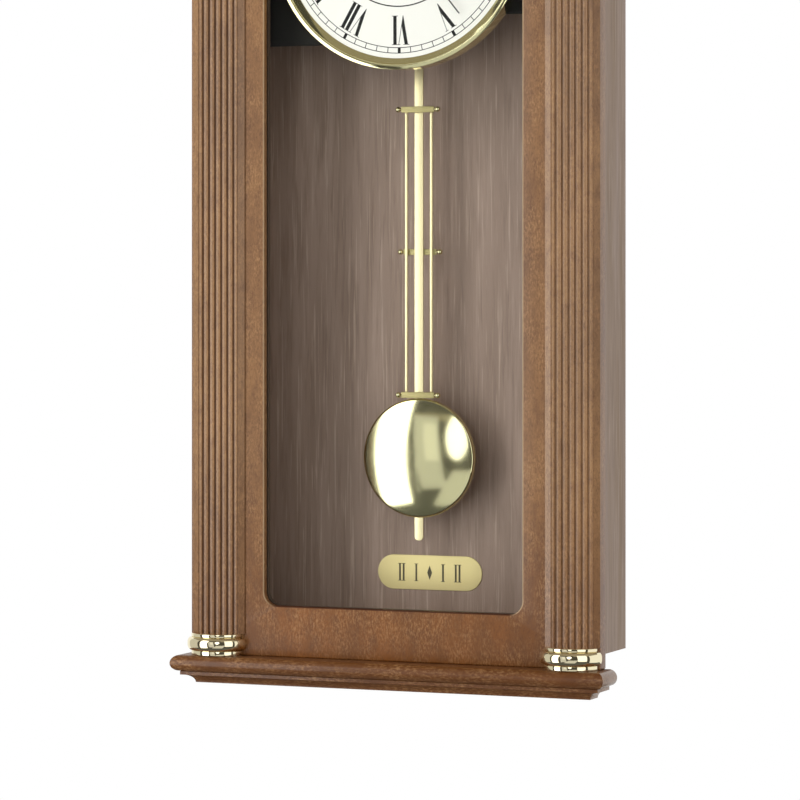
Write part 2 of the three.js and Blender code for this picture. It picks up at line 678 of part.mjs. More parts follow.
function minuteWheel() {
  const bore = () => circle(0, 0, ARBOR + RUNNING, THREE.Path);
  const wheel = gear(MINUTE_TEETH, MOTION_MODULE, MINUTE_PHASE, MINUTE_LEVEL, WHEEL_THICKNESS, bore());
  const pinionFront = SHELL_INSIDE + GAP;
  const pinionBack = MINUTE_LEVEL - WHEEL_THICKNESS + WELD;
  const pinion = gear(MINUTE_PINION_TEETH, HOUR_MODULE, 0, pinionBack, pinionBack - pinionFront, bore());
  const mesh = piece('minute_wheel', join(wheel, pinion), FINISH.wheelPlastic);
  return placed(mesh, MINUTE_AT.x, MINUTE_AT.z);
}

function settingKnob() {
  const points = [];
  const count = 4 * KNOB_LOBES;
  for (let k = 0; k < count; k += 1) {
    const angle = (2 * Math.PI * k) / count;
    const radius = KNOB_RADIUS - KNOB_LOBE_DEPTH * (1 + Math.cos(KNOB_LOBES * angle)) / 2;
    points.push(new THREE.Vector2(radius * Math.cos(angle), radius * Math.sin(angle)));
  }
  const back = COVER_BACK + GAP + KNOB_HEIGHT;
  return piece('setting_knob', slab(new THREE.Shape(points), back, KNOB_HEIGHT), FINISH.plastic);
}

function thirdWheel() {
  const wheel = gear(THIRD_TEETH, ROTOR_MODULE, 0, THIRD_LEVEL, WHEEL_THICKNESS);
  const pinionBack = THIRD_LEVEL - WHEEL_THICKNESS + WELD;
  const pinionFront = CENTRE_LEVEL - WHEEL_THICKNESS - GAP;
  const pinion = gear(THIRD_PINION_TEETH, TRAIN_MODULE, THIRD_PHASE, pinionBack, pinionBack - pinionFront);
  const arbor = bar(ARBOR, REAR_PIVOT, FRONT_PIVOT);
  const mesh = piece('third_wheel', join(wheel, pinion, arbor), FINISH.wheelPlastic);
  return placed(mesh, THIRD_AT.x, THIRD_AT.z);
}

function motorRotor() {
  const magnet = bar(ROTOR_RADIUS, ROTOR_LEVEL, ROTOR_LEVEL - ROTOR_THICKNESS);
  const pinionBack = ROTOR_LEVEL - ROTOR_THICKNESS + WELD;
  const pinion = gear(ROTOR_TEETH, ROTOR_MODULE, ROTOR_PHASE, pinionBack, PINION_THICKNESS + WELD + GAP);
  const arbor = bar(ARBOR, REAR_PIVOT, FRONT_PIVOT);
  const mesh = piece('motor_rotor', join(magnet, pinion, arbor), FINISH.magnet);
  return placed(mesh, ROTOR_AT.x, ROTOR_AT.z);
}

// Movement housing

const SHELL_INNER = SHELL_HALF_WIDTH - SHELL_WALL;
const PLATE_TOP = BATTERY_HEIGHT - BATTERY_RADIUS - 4 * GAP;
const POSTS = [
  [-SHELL_HALF_WIDTH + POST_INSET, SHELL_BOTTOM + POST_INSET],
  [SHELL_HALF_WIDTH - POST_INSET, SHELL_BOTTOM + POST_INSET],
  [-SHELL_HALF_WIDTH + POST_INSET, PLATE_TOP - POST_INSET],
  [SHELL_HALF_WIDTH - POST_INSET, PLATE_TOP - POST_INSET],
];
const RIB_FACE = BATTERY_LENGTH / 2 + BATTERY_NUB / 2 + 2 * GAP + CONTACT_THICKNESS;

function pivotHoles(radius, ...places) {
  return places.map(({ x, z }) => circle(x, z, radius, THREE.Path));
}

function shellOutline(inset, Outline = THREE.Shape) {
  const half = SHELL_HALF_WIDTH - inset;
  return rectangle(-half, half, SHELL_BOTTOM + inset, SHELL_TOP - inset, SHELL_RADIUS - inset, Outline);
}

function movementFrontShell() {
  const holes = pivotHoles(ARBOR + RUNNING, THIRD_AT, ROTOR_AT);
  const bore = HOUR_PIPE + GAP;
  const front = withHoles(shellOutline(0), circle(0, 0, bore, THREE.Path), ...holes);
  const walls = withHoles(shellOutline(0), shellOutline(SHELL_WALL, THREE.Path));
  const bush = withHoles(circle(0, 0, BUSH_RADIUS), circle(0, 0, bore, THREE.Path));
  const bodies = [
    slab(front, SHELL_INSIDE, SHELL_WALL),
    slab(walls, SHELL_BACK, SHELL_DEPTH - WELD),
    slab(bush, SHELL_INSIDE, SHELL_INSIDE - BUSH_FRONT),
    bar(ARBOR, MINUTE_LEVEL, SHELL_INSIDE - WELD, MINUTE_AT.x, MINUTE_AT.z),
  ];
  for (const [x, z] of POSTS) bodies.push(bar(POST_RADIUS, PLATE_FRONT, SHELL_INSIDE - WELD, x, z));
  const ribLow = BATTERY_HEIGHT - CONTACT_WIDTH / 2;
  for (const sign of [-1, 1]) {
    const faces = [sign * RIB_FACE, sign * (RIB_FACE + RIB_THICKNESS)];
    bodies.push(block(Math.min(...faces), Math.max(...faces), SHELL_INSIDE - WELD, PLATE_FRONT,
      ribLow, SHELL_TOP - SHELL_WALL + WELD));
  }
  return piece('movement_front_shell', join(...bodies), FINISH.plastic);
}

function movementBackCover() {
  const hole = pivotHoles(ARBOR + RUNNING, CENTRE);
  const cover = slab(withHoles(shellOutline(0), ...hole), COVER_BACK, COVER_THICKNESS);
  const boss = bar(PIVOT_BOSS, COVER_BACK + PIVOT_BOSS_HEIGHT, COVER_BACK - WELD, 0, PIVOT_HEIGHT);
  return piece('movement_back_cover', join(cover, boss), FINISH.plastic);
}

function trainPlate() {
  const half = SHELL_INNER - GAP;
  const outline = rectangle(-half, half, SHELL_BOTTOM + SHELL_WALL + GAP, PLATE_TOP, SHELL_WALL);
  const holes = pivotHoles(ARBOR + RUNNING, CENTRE, THIRD_AT, ROTOR_AT);
  const plate = slab(withHoles(outline, ...holes), PLATE_BACK, PLATE_THICKNESS);
  return piece('train_plate', plate, FINISH.wheelPlastic);
}

function circuitBoard() {
  const { inset, width, rise, tall, thickness } = CIRCUIT;
  const left = -SHELL_HALF_WIDTH + inset;
  const low = SHELL_BOTTOM + rise;
  const board = block(left, left + width, PLATE_FRONT - thickness, PLATE_FRONT, low, low + tall);
  return piece('circuit_board', board, FINISH.circuit);
}

function motorCoil() {
  const { inset, length, height, core, flange, cheek } = COIL;
  const left = -SHELL_HALF_WIDTH + inset;
  const right = left + length;
  const profile = [[0, left], [flange, left], [flange, left + cheek], [core, left + cheek],
    [core, right - cheek], [flange, right - cheek], [flange, right], [0, right]];
  const middle = SHELL_INSIDE + GAP + flange;
  const spool = turned(profile, 2 * ROUND_STEPS).rotateZ(-Math.PI / 2).translate(0, middle, height);
  return piece('motor_coil', spool, FINISH.copper);
}

const BATTERY_LEFT = -RIB_FACE + CONTACT_THICKNESS + 2 * GAP;
const BATTERY_MIDDLE = SHELL_INSIDE + GAP + BATTERY_RADIUS;

function battery() {
  const right = BATTERY_LEFT + BATTERY_LENGTH;
  const profile = [[0, BATTERY_LEFT], [BATTERY_RADIUS, BATTERY_LEFT], [BATTERY_RADIUS, right],
    [BATTERY_NUB_RADIUS, right], [BATTERY_NUB_RADIUS, right + BATTERY_NUB], [0, right + BATTERY_NUB]];
  const cell = turned(profile, 2 * ROUND_STEPS).rotateZ(-Math.PI / 2);
  return piece('battery', cell.translate(0, BATTERY_MIDDLE, BATTERY_HEIGHT), FINISH.battery);
}

function batteryContact(side, sign) {
  const faces = [sign * (RIB_FACE - GAP), sign * (RIB_FACE - GAP - CONTACT_THICKNESS)];
  const half = CONTACT_WIDTH / 2;
  const strip = block(Math.min(...faces), Math.max(...faces), BATTERY_MIDDLE - half, BATTERY_MIDDLE + half,
    BATTERY_HEIGHT - half, BATTERY_HEIGHT + half);
  const pole = side === 'right' ? 'positive' : 'negative';
  return piece(`contact_${pole}`, strip, FINISH.steel);
}

// Pendulum

const ARM_BACK = ROD_BACK + GAP + HANGER_ARM_THICKNESS;
const ARM_FRONT = ROD_BACK + GAP;

function pivotPin() {
  const seat = COVER_BACK + PIVOT_BOSS_HEIGHT;
  const neck = ARM_BACK + GAP;
  const shank = bar(PIVOT_RADIUS, neck + WELD, seat, 0, PIVOT_HEIGHT);
  const head = bar(PIVOT_HEAD, neck + PLATE_THICKNESS, neck, 0, PIVOT_HEIGHT);
  return piece('pendulum_pivot_pin', join(shank, head), FINISH.steel);
}

function pendulumHanger() {
  const half = HANGER_ARM_WIDTH / 2;
  const lean = Math.asin(half / HANGER_EYE);
  const outline = new THREE.Shape();
  outline.absarc(0, PIVOT_HEIGHT, HANGER_EYE, -Math.PI / 2 + lean, 1.5 * Math.PI - lean);
  outline.lineTo(-half, HANGER_END);
  outline.lineTo(half, HANGER_END);
  withHoles(outline, circle(0, PIVOT_HEIGHT, PIVOT_RADIUS + RUNNING, THREE.Path));
  const arm = slab(outline, ARM_BACK, HANGER_ARM_THICKNESS);
  const peg = bar(HANGER_PEG, ARM_FRONT + WELD, ROD_FRONT - 4 * GAP, 0, HANGER_PEG_HEIGHT);
  return piece('pendulum_hanger', join(arm, peg), FINISH.plastic);
}

function driveMagnet() {
  const magnet = bar(MAGNET_RADIUS, ARM_FRONT, ARM_FRONT - MAGNET_THICKNESS, 0, MAGNET_HEIGHT);
  return piece('drive_magnet', magnet, FINISH.magnet);
}

function pendulumRod() {
  const half = ROD_WIDTH / 2;
  const outline = new THREE.Shape();
  outline.moveTo(-half, ROD_TOP);
  outline.lineTo(-half, ROD_TIP + ROD_TIP_LENGTH);
  outline.quadraticCurveTo(-half, ROD_TIP, 0, ROD_TIP);
  outline.quadraticCurveTo(half, ROD_TIP, half, ROD_TIP + ROD_TIP_LENGTH);
  outline.lineTo(half, ROD_TOP);
  withHoles(outline, circle(0, HANGER_PEG_HEIGHT, HANGER_PEG + GAP, THREE.Path));
  return piece('pendulum_rod', slab(outline, ROD_BACK, ROD_THICKNESS), FINISH.satinBrass);
}

function pendulumWire(side, sign) {
  const low = BAR_HEIGHTS.lower - WIRE_OVERRUN;
  const high = BAR_HEIGHTS.upper + WIRE_OVERRUN;
  const section = circle((sign * WIRE_SPACING) / 2, PENDULUM_PLANE, WIRE_RADIUS);
  return piece(`wire_${side}`, pillar(section, low, high - low, ROUND_STEPS / 2), FINISH.satinBrass);
}

function crossbar(name, height, inFront) {
  const [half, tall] = [BAR_LENGTH / 2, BAR_TALL / 2];
  const ball = half + BAR_NECK + BAR_FINIAL * Math.cos(Math.asin(BAR_NECK / 2 / BAR_FINIAL));
  const turn = Math.PI - Math.asin(BAR_NECK / 2 / BAR_FINIAL);
  const outline = new THREE.Shape();
  outline.moveTo(-half, -tall);
  outline.lineTo(half, -tall);
  outline.lineTo(half, -BAR_NECK / 2);
  outline.absarc(ball, 0, BAR_FINIAL, -turn, turn);
  outline.lineTo(half, BAR_NECK / 2);
  outline.lineTo(half, tall);
  outline.lineTo(-half, tall);
  outline.lineTo(-half, BAR_NECK / 2);
  outline.absarc(-ball, 0, BAR_FINIAL, Math.PI - turn, Math.PI + turn);
  outline.lineTo(-half, -BAR_NECK / 2);
  const clear = WIRE_RADIUS + GAP;
  const back = inFront ? PENDULUM_PLANE - clear : PENDULUM_PLANE + clear + BAR_THICKNESS;
  const bar = slab(outline, back, BAR_THICKNESS, CORNER_STEPS);
  return placed(piece(`crossbar_${name}`, bar, FINISH.satinBrass), 0, height);
}

// Half a section of the bob from the rim to the crown: rolled edge, then a shallow sphere.
function bobProfile(inset) {
  const slope = degrees(BOB_CROWN_ANGLE);
  const edge = BOB_EDGE - inset;
  const centre = BOB_RADIUS - BOB_EDGE;
  const turn = Math.PI / 2 - slope;
  const join = centre + BOB_EDGE * Math.cos(turn);
  const ball = join / Math.sin(slope);
  const sphere = ball - inset;
  const sphereCentre = PENDULUM_PLANE - BOB_EDGE * Math.sin(turn) + ball * Math.cos(slope);
  const points = [[BOB_RADIUS - inset, PENDULUM_PLANE + BOB_RIM]];
  for (let k = 0; k <= EDGE_STEPS; k += 1) {
    const angle = (turn * k) / EDGE_STEPS;
    points.push([centre + edge * Math.cos(angle), PENDULUM_PLANE - edge * Math.sin(angle)]);
  }
  for (let k = CROWN_STEPS - 1; k >= 0; k -= 1) {
    const angle = (slope * k) / CROWN_STEPS;
    points.push([sphere * Math.sin(angle), sphereCentre - sphere * Math.cos(angle)]);
  }
  return points;
}

function bobFrontShell() {
  const profile = [...bobProfile(0).reverse(), ...bobProfile(BOB_WALL)];
  const shell = turned(profile, BOB_STEPS);
  const half = ROD_WIDTH / 2 + GAP;
  const reach = BOB_RADIUS + WELD;
  const channel = block(-half, half, ROD_FRONT - GAP, PENDULUM_PLANE + BOB_RIM + WELD, -reach, reach);
  return placed(piece('bob_front_shell', cut(shell, channel), FINISH.brass), 0, BOB_HEIGHT);
}

function bobBackPlate() {
  const radius = BOB_RADIUS - BOB_WALL - GAP;
  const disc = slab(circle(0, 0, radius), ROD_BACK + GAP + BOB_PLATE, BOB_PLATE, BOB_STEPS / 2);
  return placed(piece('bob_back_plate', disc, FINISH.satinBrass), 0, BOB_HEIGHT);
}

function bobScrew() {
  const seat = ROD_BACK + GAP + BOB_PLATE;
  const head = bar(BOB_SCREW, seat + BOB_SCREW_HEIGHT, seat);
  return placed(piece('bob_screw', head, FINISH.steel), 0, BOB_HEIGHT);
}

// Door

function doorFrame() {
  const outline = rectangle(-DOOR_EDGE, DOOR_EDGE, DOOR_BOTTOM, DOOR_TOP);
  const sides = [-WINDOW_EDGE, WINDOW_EDGE, WINDOW_BOTTOM, WINDOW_TOP];
  withHoles(outline, rectangle(...sides, WINDOW_RADIUS, THREE.Path));
  const frame = slab(outline, DOOR_BACK, DOOR_THICKNESS, CORNER_STEPS);
  const lap = GLASS_LAP + GAP;
  const rebate = rectangle(-WINDOW_EDGE - lap, WINDOW_EDGE + lap, WINDOW_BOTTOM - lap, WINDOW_TOP + lap);
  const depth = DOOR_THICKNESS - GLASS_SETBACK;
  return piece('door_frame', cut(frame, slab(rebate, DOOR_BACK + WELD, depth + WELD)), FINISH.walnut);
}

function doorGlass() {
  const lap = GLASS_LAP;
  const pane = rectangle(-WINDOW_EDGE - lap, WINDOW_EDGE + lap, WINDOW_BOTTOM - lap, WINDOW_TOP + lap);
  return piece('door_glass', slab(pane, GLASS_BACK, GLASS_THICKNESS), FINISH.glass);
}

// Lies in the rebate behind the glass, level with the door's back.
function glassBead() {
  const wide = WINDOW_EDGE + GLASS_LAP;
  const outline = rectangle(-wide, wide, WINDOW_BOTTOM - GLASS_LAP, WINDOW_TOP + GLASS_LAP);
  const opening = rectangle(-WINDOW_EDGE, WINDOW_EDGE, WINDOW_BOTTOM, WINDOW_TOP, WINDOW_RADIUS, THREE.Path);
  const bead = slab(withHoles(outline, opening), DOOR_BACK, DOOR_BACK - GLASS_BACK, CORNER_STEPS);
  return piece('glass_bead', bead, FINISH.walnut);
}

// How far a bowed plan stands proud at a distance from its middle.
function bow(x, halfWidth, projection) {
  const share = Math.min(1, Math.abs(x) / halfWidth);
  return projection * (1 - share ** PILASTER_BOW) ** (1 / PILASTER_BOW);
}

function pilasterOutline() {
  const half = PILASTER_WIDTH / 2;
  const firstFlute = (-(FLUTE_COUNT - 1) * FLUTE_PITCH) / 2;
  const edge = firstFlute - FLUTE_WIDTH / 2;
  const flank = [];
  for (let k = 0; k < FLANK_STEPS; k += 1) {
    const share = 1 - Math.cos((Math.PI / 2) * (k / FLANK_STEPS));
    const x = -half + (half + edge) * share;
    flank.push([x, -bow(x, half, PILASTER_PROJECTION)]);
  }
  const points = [...flank];
  for (let flute = 0; flute < FLUTE_COUNT; flute += 1) {
    const middle = firstFlute + flute * FLUTE_PITCH;
    for (let k = 0; k <= FLUTE_STEPS; k += 1) {
      const angle = (Math.PI * k) / FLUTE_STEPS;
      const x = middle - (FLUTE_WIDTH / 2) * Math.cos(angle);
      points.push([x, -bow(x, half, PILASTER_PROJECTION) + FLUTE_DEPTH * Math.sin(angle)]);
    }
  }
  for (const [x, y] of flank.reverse()) points.push([-x, y]);
  return new THREE.Shape(points.map(([x, y]) => new THREE.Vector2(x, y)));
}

function pilaster(side, sign) {
  const low = DOOR_BOTTOM + RING_HEIGHT;
  const high = DOOR_TOP - RING_HEIGHT;
  const shaft = pillar(pilasterOutline(), low, high - low);
  const mesh = piece(`pilaster_${side}`, shaft, FINISH.walnut);
  mesh.position.set(sign * PILASTER_CENTRE, DOOR_FRONT, 0);
  return mesh;
}

// Levels of a brass ring from its foot up: foot, quirk, torus, quirk, collar.
function ringLevels() {
  const torusLow = RING_FOOT;
  const torusHigh = RING_FOOT + RING_TORUS;
  const levels = [[0, 0], [RING_FOOT, 0]];
  for (let k = 0; k <= TORUS_STEPS; k += 1) {
    const angle = (Math.PI * k) / TORUS_STEPS;
    const height = torusLow + (RING_TORUS * (1 - Math.cos(angle))) / 2;
    levels.push([height, -RING_NECK + (RING_BULGE + RING_NECK) * Math.sin(angle)]);
  }
  levels.push([torusHigh, 0], [RING_HEIGHT, 0]);
  return levels;
}

function ringPlan(spread, z) {
  const half = RING_WIDTH / 2 + spread;
  const reach = RING_PROJECTION + spread;
  const points = [];
  for (let k = 0; k <= RING_STEPS; k += 1) {
    const angle = (Math.PI * k) / RING_STEPS;
    const [c, s] = [Math.cos(angle), Math.sin(angle)];
    const x = -half * Math.sign(c) * Math.abs(c) ** (2 / RING_BOW);
    points.push(new THREE.Vector3(x, -reach * Math.abs(s) ** (2 / RING_BOW), z));
  }
  return points;
}

function brassRing(name, sign, foot, up) {
  const rings = ringLevels().map(([height, spread]) => ringPlan(spread, foot + up * height));
  const mesh = piece(name, loft(rings), FINISH.brass);
  mesh.position.set(sign * PILASTER_CENTRE, DOOR_FRONT, 0);
  return mesh;
}

// A moulding's offsets from its bullnose face to its foot: [distance, offset].
function mouldingProfile({ nose, noseHeight, fillet, filletHeight, foot, coveHeight }) {
  const radius = noseHeight / 2;
  const levels = [];
  for (let k = 0; k <= NOSE_STEPS; k += 1) {
    const angle = (Math.PI * k) / NOSE_STEPS;
    levels.push([radius * (1 - Math.cos(angle)), nose - radius + radius * Math.sin(angle)]);
  }
  levels.push([noseHeight, fillet]);
  for (let k = 0; k <= COVE_STEPS; k += 1) {
    const angle = (Math.PI / 2) * (k / COVE_STEPS);
    const down = noseHeight + filletHeight + coveHeight * (1 - Math.cos(angle));
    levels.push([down, fillet - (fillet - foot) * Math.sin(angle)]);
  }
  return levels;
}

// The moulding runs across the front and returns, mitred, along both ends of the door.
function moulding(name, sizes, face) {
  const rings = mouldingProfile(sizes).map(([distance, offset]) => {
    const half = DOOR_EDGE - RETURN_INSET + offset;
    const front = DOOR_FRONT - offset;
    const z = face - distance;
    const corners = [[-half, DOOR_BACK], [-half, front], [half, front], [half, DOOR_BACK]];
    return corners.map(([x, y]) => new THREE.Vector3(x, y, z));
  });
  return piece(name, loft(rings), FINISH.walnut);
}

const CORNICE_HEIGHT = CORNICE.noseHeight + CORNICE.filletHeight + CORNICE.coveHeight;

// The upper half of a lift-off hinge: leaf on the door's back and bored barrel.
function hingeDoor(name, height) {
  const bored = withHoles(circle(HINGE_X, HINGE_Y, HINGE_BARREL),
    circle(HINGE_X, HINGE_Y, HINGE_PIN + RUNNING, THREE.Path));
  const barrel = pillar(bored, height, HINGE_BARREL_LENGTH);
  const web = block(HINGE_X - HINGE_BARREL, HINGE_X - HINGE_PIN - WELD, DOOR_BACK, HINGE_Y,
    height, height + HINGE_BARREL_LENGTH);
  const leaf = block(-DOOR_EDGE + WELD, -CASE_EDGE - GAP, DOOR_BACK, DOOR_BACK + HINGE_LEAF,
    height, height + HINGE_LEAF_LENGTH);
  const clearance = pillar(circle(HINGE_X, HINGE_Y, HINGE_BARREL - WELD), height - WELD, HINGE_LEAF_LENGTH);
  return piece(`hinge_door_${name}`, join(cut(web, clearance), barrel, leaf), FINISH.steel);
}

function catchStrike() {
  const back = DOOR_BACK + STRIKE_THICKNESS;
  const strike = block(CASE_INNER - CATCH_WIDTH, CASE_INNER, DOOR_BACK, back,
    CATCH_HEIGHT, CATCH_HEIGHT + CATCH_LENGTH);
  return piece('catch_strike', strike, FINISH.steel);
}

// The clock

function group(...members) {
  const made = new THREE.Group();
  made.add(...members);
  return made;
}

const caseGroup = group(
  backPanel(), hangerPlate(), beatPlate(), ...mirrored(caseSide),
  caseShelf('case_top', CASE_TOP - CASE_WALL), caseShelf('case_bottom', CASE_BOTTOM),
  ...mirrored(boardCleat), dialBoard(), dialPlate(), bezelRing(), mountingNut(),
  hingeCase('upper', HINGE_HEIGHTS.upper), hingeCase('lower', HINGE_HEIGHTS.lower), catchMagnet(),
);

const movementGroup = group(
  movementFrontShell(), movementBackCover(), trainPlate(), circuitBoard(), motorCoil(), battery(),
  ...mirrored(batteryContact), pivotPin(),
  hourWheel(), centreWheelArbor(), minuteWheel(), settingKnob(), thirdWheel(), motorRotor(),
  hourHand(), minuteHand(), handNut(),
);

const pendulumGroup = group(
  pendulumHanger(), driveMagnet(), pendulumRod(), ...mirrored(pendulumWire),
  crossbar('upper', BAR_HEIGHTS.upper, true), crossbar('middle', BAR_HEIGHTS.middle, false),
  crossbar('lower', BAR_HEIGHTS.lower, true), bobFrontShell(), bobBackPlate(), bobScrew(),
);

const doorGroup = group(
  doorFrame(), doorGlass(), glassBead(), ...mirrored(pilaster),
  brassRing('brass_base_left', -1, DOOR_BOTTOM, 1), brassRing('brass_base_right', 1, DOOR_BOTTOM, 1),
  brassRing('brass_capital_left', -1, DOOR_TOP, -1), brassRing('brass_capital_right', 1, DOOR_TOP, -1),
  moulding('base_moulding', BASE, DOOR_BOTTOM),
  moulding('cornice_moulding', CORNICE, DOOR_TOP + CORNICE_HEIGHT),
  hingeDoor('upper', HINGE_HEIGHTS.upper), hingeDoor('lower', HINGE_HEIGHTS.lower), catchStrike(),
);

const clock = group(caseGroup, movementGroup, pendulumGroup, doorGroup);

export default clock;
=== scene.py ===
# %% [markdown]
# # A regulator wall clock
# The clock is a shallow laminate case on a wall, closed by a glazed wooden door that is its whole front.
# Behind the glass hang a white dial with a brass bezel and a long pendulum with a polished bob. The
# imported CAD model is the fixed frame, and every piece made here goes where that frame says.

# %% Load the frame
import json
from math import acos, copysign, cos, degrees, pi, radians, sin, tan
from types import SimpleNamespace as Sizes

import bmesh
import bpy
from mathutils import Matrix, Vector


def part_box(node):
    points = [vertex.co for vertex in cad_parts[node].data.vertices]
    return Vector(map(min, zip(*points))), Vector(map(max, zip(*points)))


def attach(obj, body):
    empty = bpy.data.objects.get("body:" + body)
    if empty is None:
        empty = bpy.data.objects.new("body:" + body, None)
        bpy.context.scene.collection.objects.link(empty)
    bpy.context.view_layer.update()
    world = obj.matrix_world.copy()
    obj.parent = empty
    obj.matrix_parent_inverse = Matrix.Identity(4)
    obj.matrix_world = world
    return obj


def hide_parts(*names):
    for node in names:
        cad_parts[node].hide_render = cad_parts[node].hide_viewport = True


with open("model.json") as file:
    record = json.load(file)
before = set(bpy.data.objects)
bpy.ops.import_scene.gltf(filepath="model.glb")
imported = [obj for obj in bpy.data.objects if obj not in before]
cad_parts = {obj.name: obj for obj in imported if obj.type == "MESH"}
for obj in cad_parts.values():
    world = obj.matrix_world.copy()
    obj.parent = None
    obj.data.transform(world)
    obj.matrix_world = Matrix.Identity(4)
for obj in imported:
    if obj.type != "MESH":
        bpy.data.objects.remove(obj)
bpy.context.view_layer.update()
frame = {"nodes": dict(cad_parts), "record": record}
MM = 0.001
scene = bpy.context.scene
scene.view_settings.view_transform = "Standard"

# %% [markdown]
# ## Camera
# The photograph is level and taken from the right with a long lens, so upright edges stay upright. A
# level camera with a lens shift keeps them so: tilting the camera down would make them lean. The yaw,
# distance and focal length come from fitting the straight edges of the case.

# %% Camera
CAMERA_YAW = radians(22.36)
CAMERA_PLACE = (1.0792, -2.6882, -0.2524)
CAMERA_LENS = 170.1
CAMERA_SHIFT = -0.163
SENSOR_WIDTH = 36


def put(name, data):
    placed = bpy.data.objects.new(name, data)
    scene.collection.objects.link(placed)
    return placed


optics = bpy.data.cameras.new("camera")
optics.sensor_width, optics.lens, optics.shift_y = SENSOR_WIDTH, CAMERA_LENS, CAMERA_SHIFT
scene.camera = put("camera", optics)
scene.camera.location = CAMERA_PLACE
scene.camera.rotation_euler = (pi / 2, 0, CAMERA_YAW)
print("camera at", CAMERA_PLACE, "with a", CAMERA_LENS, "mm lens")

# %% [markdown]
# ## Materials
# Each finish is a node tree. One helper adds a node, sets its values and makes its links, so a tree reads
# from top to bottom. A colour is written as the sRGB hex value that the eye sees and turned to linear
# once, here.

# %% Helpers for materials


def linear(hex_colour):
    channels = [int(hex_colour[k:k + 2], 16) / 255 for k in (0, 2, 4)]
    return [c / 12.92 if c <= 0.04045 else ((c + 0.055) / 1.055) ** 2.4 for c in channels] + [1.0]


def feed(tree, node, inputs):
    for key, value in dict(inputs).items():
        if isinstance(value, bpy.types.Node):
            value = value.outputs[0]
        if isinstance(value, bpy.types.NodeSocket):
            tree.links.new(value, node.inputs[key])
        else:
            node.inputs[key].default_value = value


def add(tree, kind, inputs=(), **settings):
    node = tree.nodes.new(kind)
    for key, value in settings.items():
        setattr(node, key, value)
    feed(tree, node, inputs)
    return node


def new_material(name):
    material = bpy.data.materials.new(name)
    material.use_nodes = True
    tree = material.node_tree
    tree.nodes.clear()
    shader = add(tree, "ShaderNodeBsdfPrincipled")
    add(tree, "ShaderNodeOutputMaterial", {"Surface": shader}, name="output")
    coords = add(tree, "ShaderNodeTexCoord").outputs["Object"]
    return material, tree, shader, coords


# %% [markdown]
# ### Stretched noise and layers
# Wood, printed foil and rubbed metal have lines of a known width and length. A picture could give them,
# but at one size only. Here noise is stretched to a size in millimetres, and the span of it that counts
# is spread over the reach that is wanted. Stains and inks then lie over a base colour, each as thick as
# its noise says.

# %% Stretched noise and layers
MIX_A, MIX_B, MIX_OUT = 6, 7, 2  # the colour sockets of a Mix node


def stretched_noise(tree, coords, size_mm, detail, span, reach, rough=0.5, distortion=0.0):
    stretch = [1 / (size * MM) for size in size_mm]
    place = add(tree, "ShaderNodeMapping", {"Vector": coords, "Scale": stretch})
    noise = add(tree, "ShaderNodeTexNoise", {
        "Vector": place, "Scale": 1.0, "Detail": detail, "Roughness": rough, "Distortion": distortion})
    return add(tree, "ShaderNodeMapRange", {
        "Value": noise, "From Min": span[0], "From Max": span[1], "To Min": reach[0], "To Max": reach[1]})


def layered(tree, base, layers):
    colour = linear(base)
    for share, ink in layers:
        colour = add(tree, "ShaderNodeMix", {0: share, MIX_A: colour, MIX_B: linear(ink)},
                     data_type="RGBA").outputs[MIX_OUT]
    return colour


# %% [markdown]
# ### Stained walnut
# The door is a fine-pored wood, stained warm brown under satin lacquer. The eye sees slow clouds of
# colour, small dark blotches, light flecks about 3 mm long, and pores. Real pores are finer than a pixel,
# so they are drawn coarser. Each kind of board is a material, because its stain differs, its grain may
# run another way, or its colour stands in part for light: painted sheen or painted shade. The colour
# darkens towards the foot of the door as painted shade, darkens in hollows as stain and painted shade,
# and lightens on edges as a painted highlight. The height gives the first. Only a piece knows its hollows
# and edges, so it carries them as two attributes, from 0 to 1.

# %% Walnut
BOARDS = {  # dark and light colour, share of lacquer, how far the painted shade deepens at the foot, turn of the grain
    "upright": ("774f2b", "93673a", 0.75, 0.85, (0, 0, 0)),
    # lighter than the stiles, as painted sheen on the ridges
    "fluted": ("85603a", "a1774a", 0.9, 0.5, (0, 0, 0)),
    "rail": ("673d14", "874f17", 0.4, 0.0, (0, 0, 0)),
    # darker than the rails, partly as painted shade on the mouldings
    "moulding": ("5d3310", "754417", 0.4, 0.0, (0, pi / 2, 0)),
    # grey, as painted sheen on faces that look sideways
    "returns": ("8a6c54", "9d7e66", 0.9, 0.0, (pi / 2, 0, 0)),
}
GRAIN = (  # name, width and length in mm, detail, roughness, noise where it starts and is full, most
    ("cloud", 38, 120, 3, 0.55, (0.3, 0.7), 1.0),
    ("blotch", 5, 13, 3, 0.6, (0.46, 0.7), 0.42),
    ("patch", 12, 28, 2, 0.5, (0.3, 0.64), 1.0),
    ("fleck", 1.3, 3.2, 3, 0.65, (0.44, 0.68), 0.6),
    ("pore", 0.8, 1.7, 2, 0.6, (0.52, 0.7), 0.4),
)
# Layers over the base: the darkening at the foot is painted shade; blotches, flecks and pores are the wood's
# own; the darkening in hollows is stain and painted shade; the light on edges is a painted highlight.
STAINS_AND_PAINTED_LIGHT = (("foot", "73420f"), ("blotch", "5a3315"), ("fleck", "bb8c5a"), ("pore", "4e2a10"),
          ("hollow", "3f1c08"), ("worn", "d9bd92"))
FOOT_SHADE_HIGH, FOOT_SHADE_LOW = -400, -510  # heights in mm between which the painted shade deepens
RELIEF = 0.2 * MM  # depth of the bumps in wood and foil
LACQUERED = {"Roughness": 0.55, "Specular IOR Level": 0.25, "Coat Roughness": 0.22}


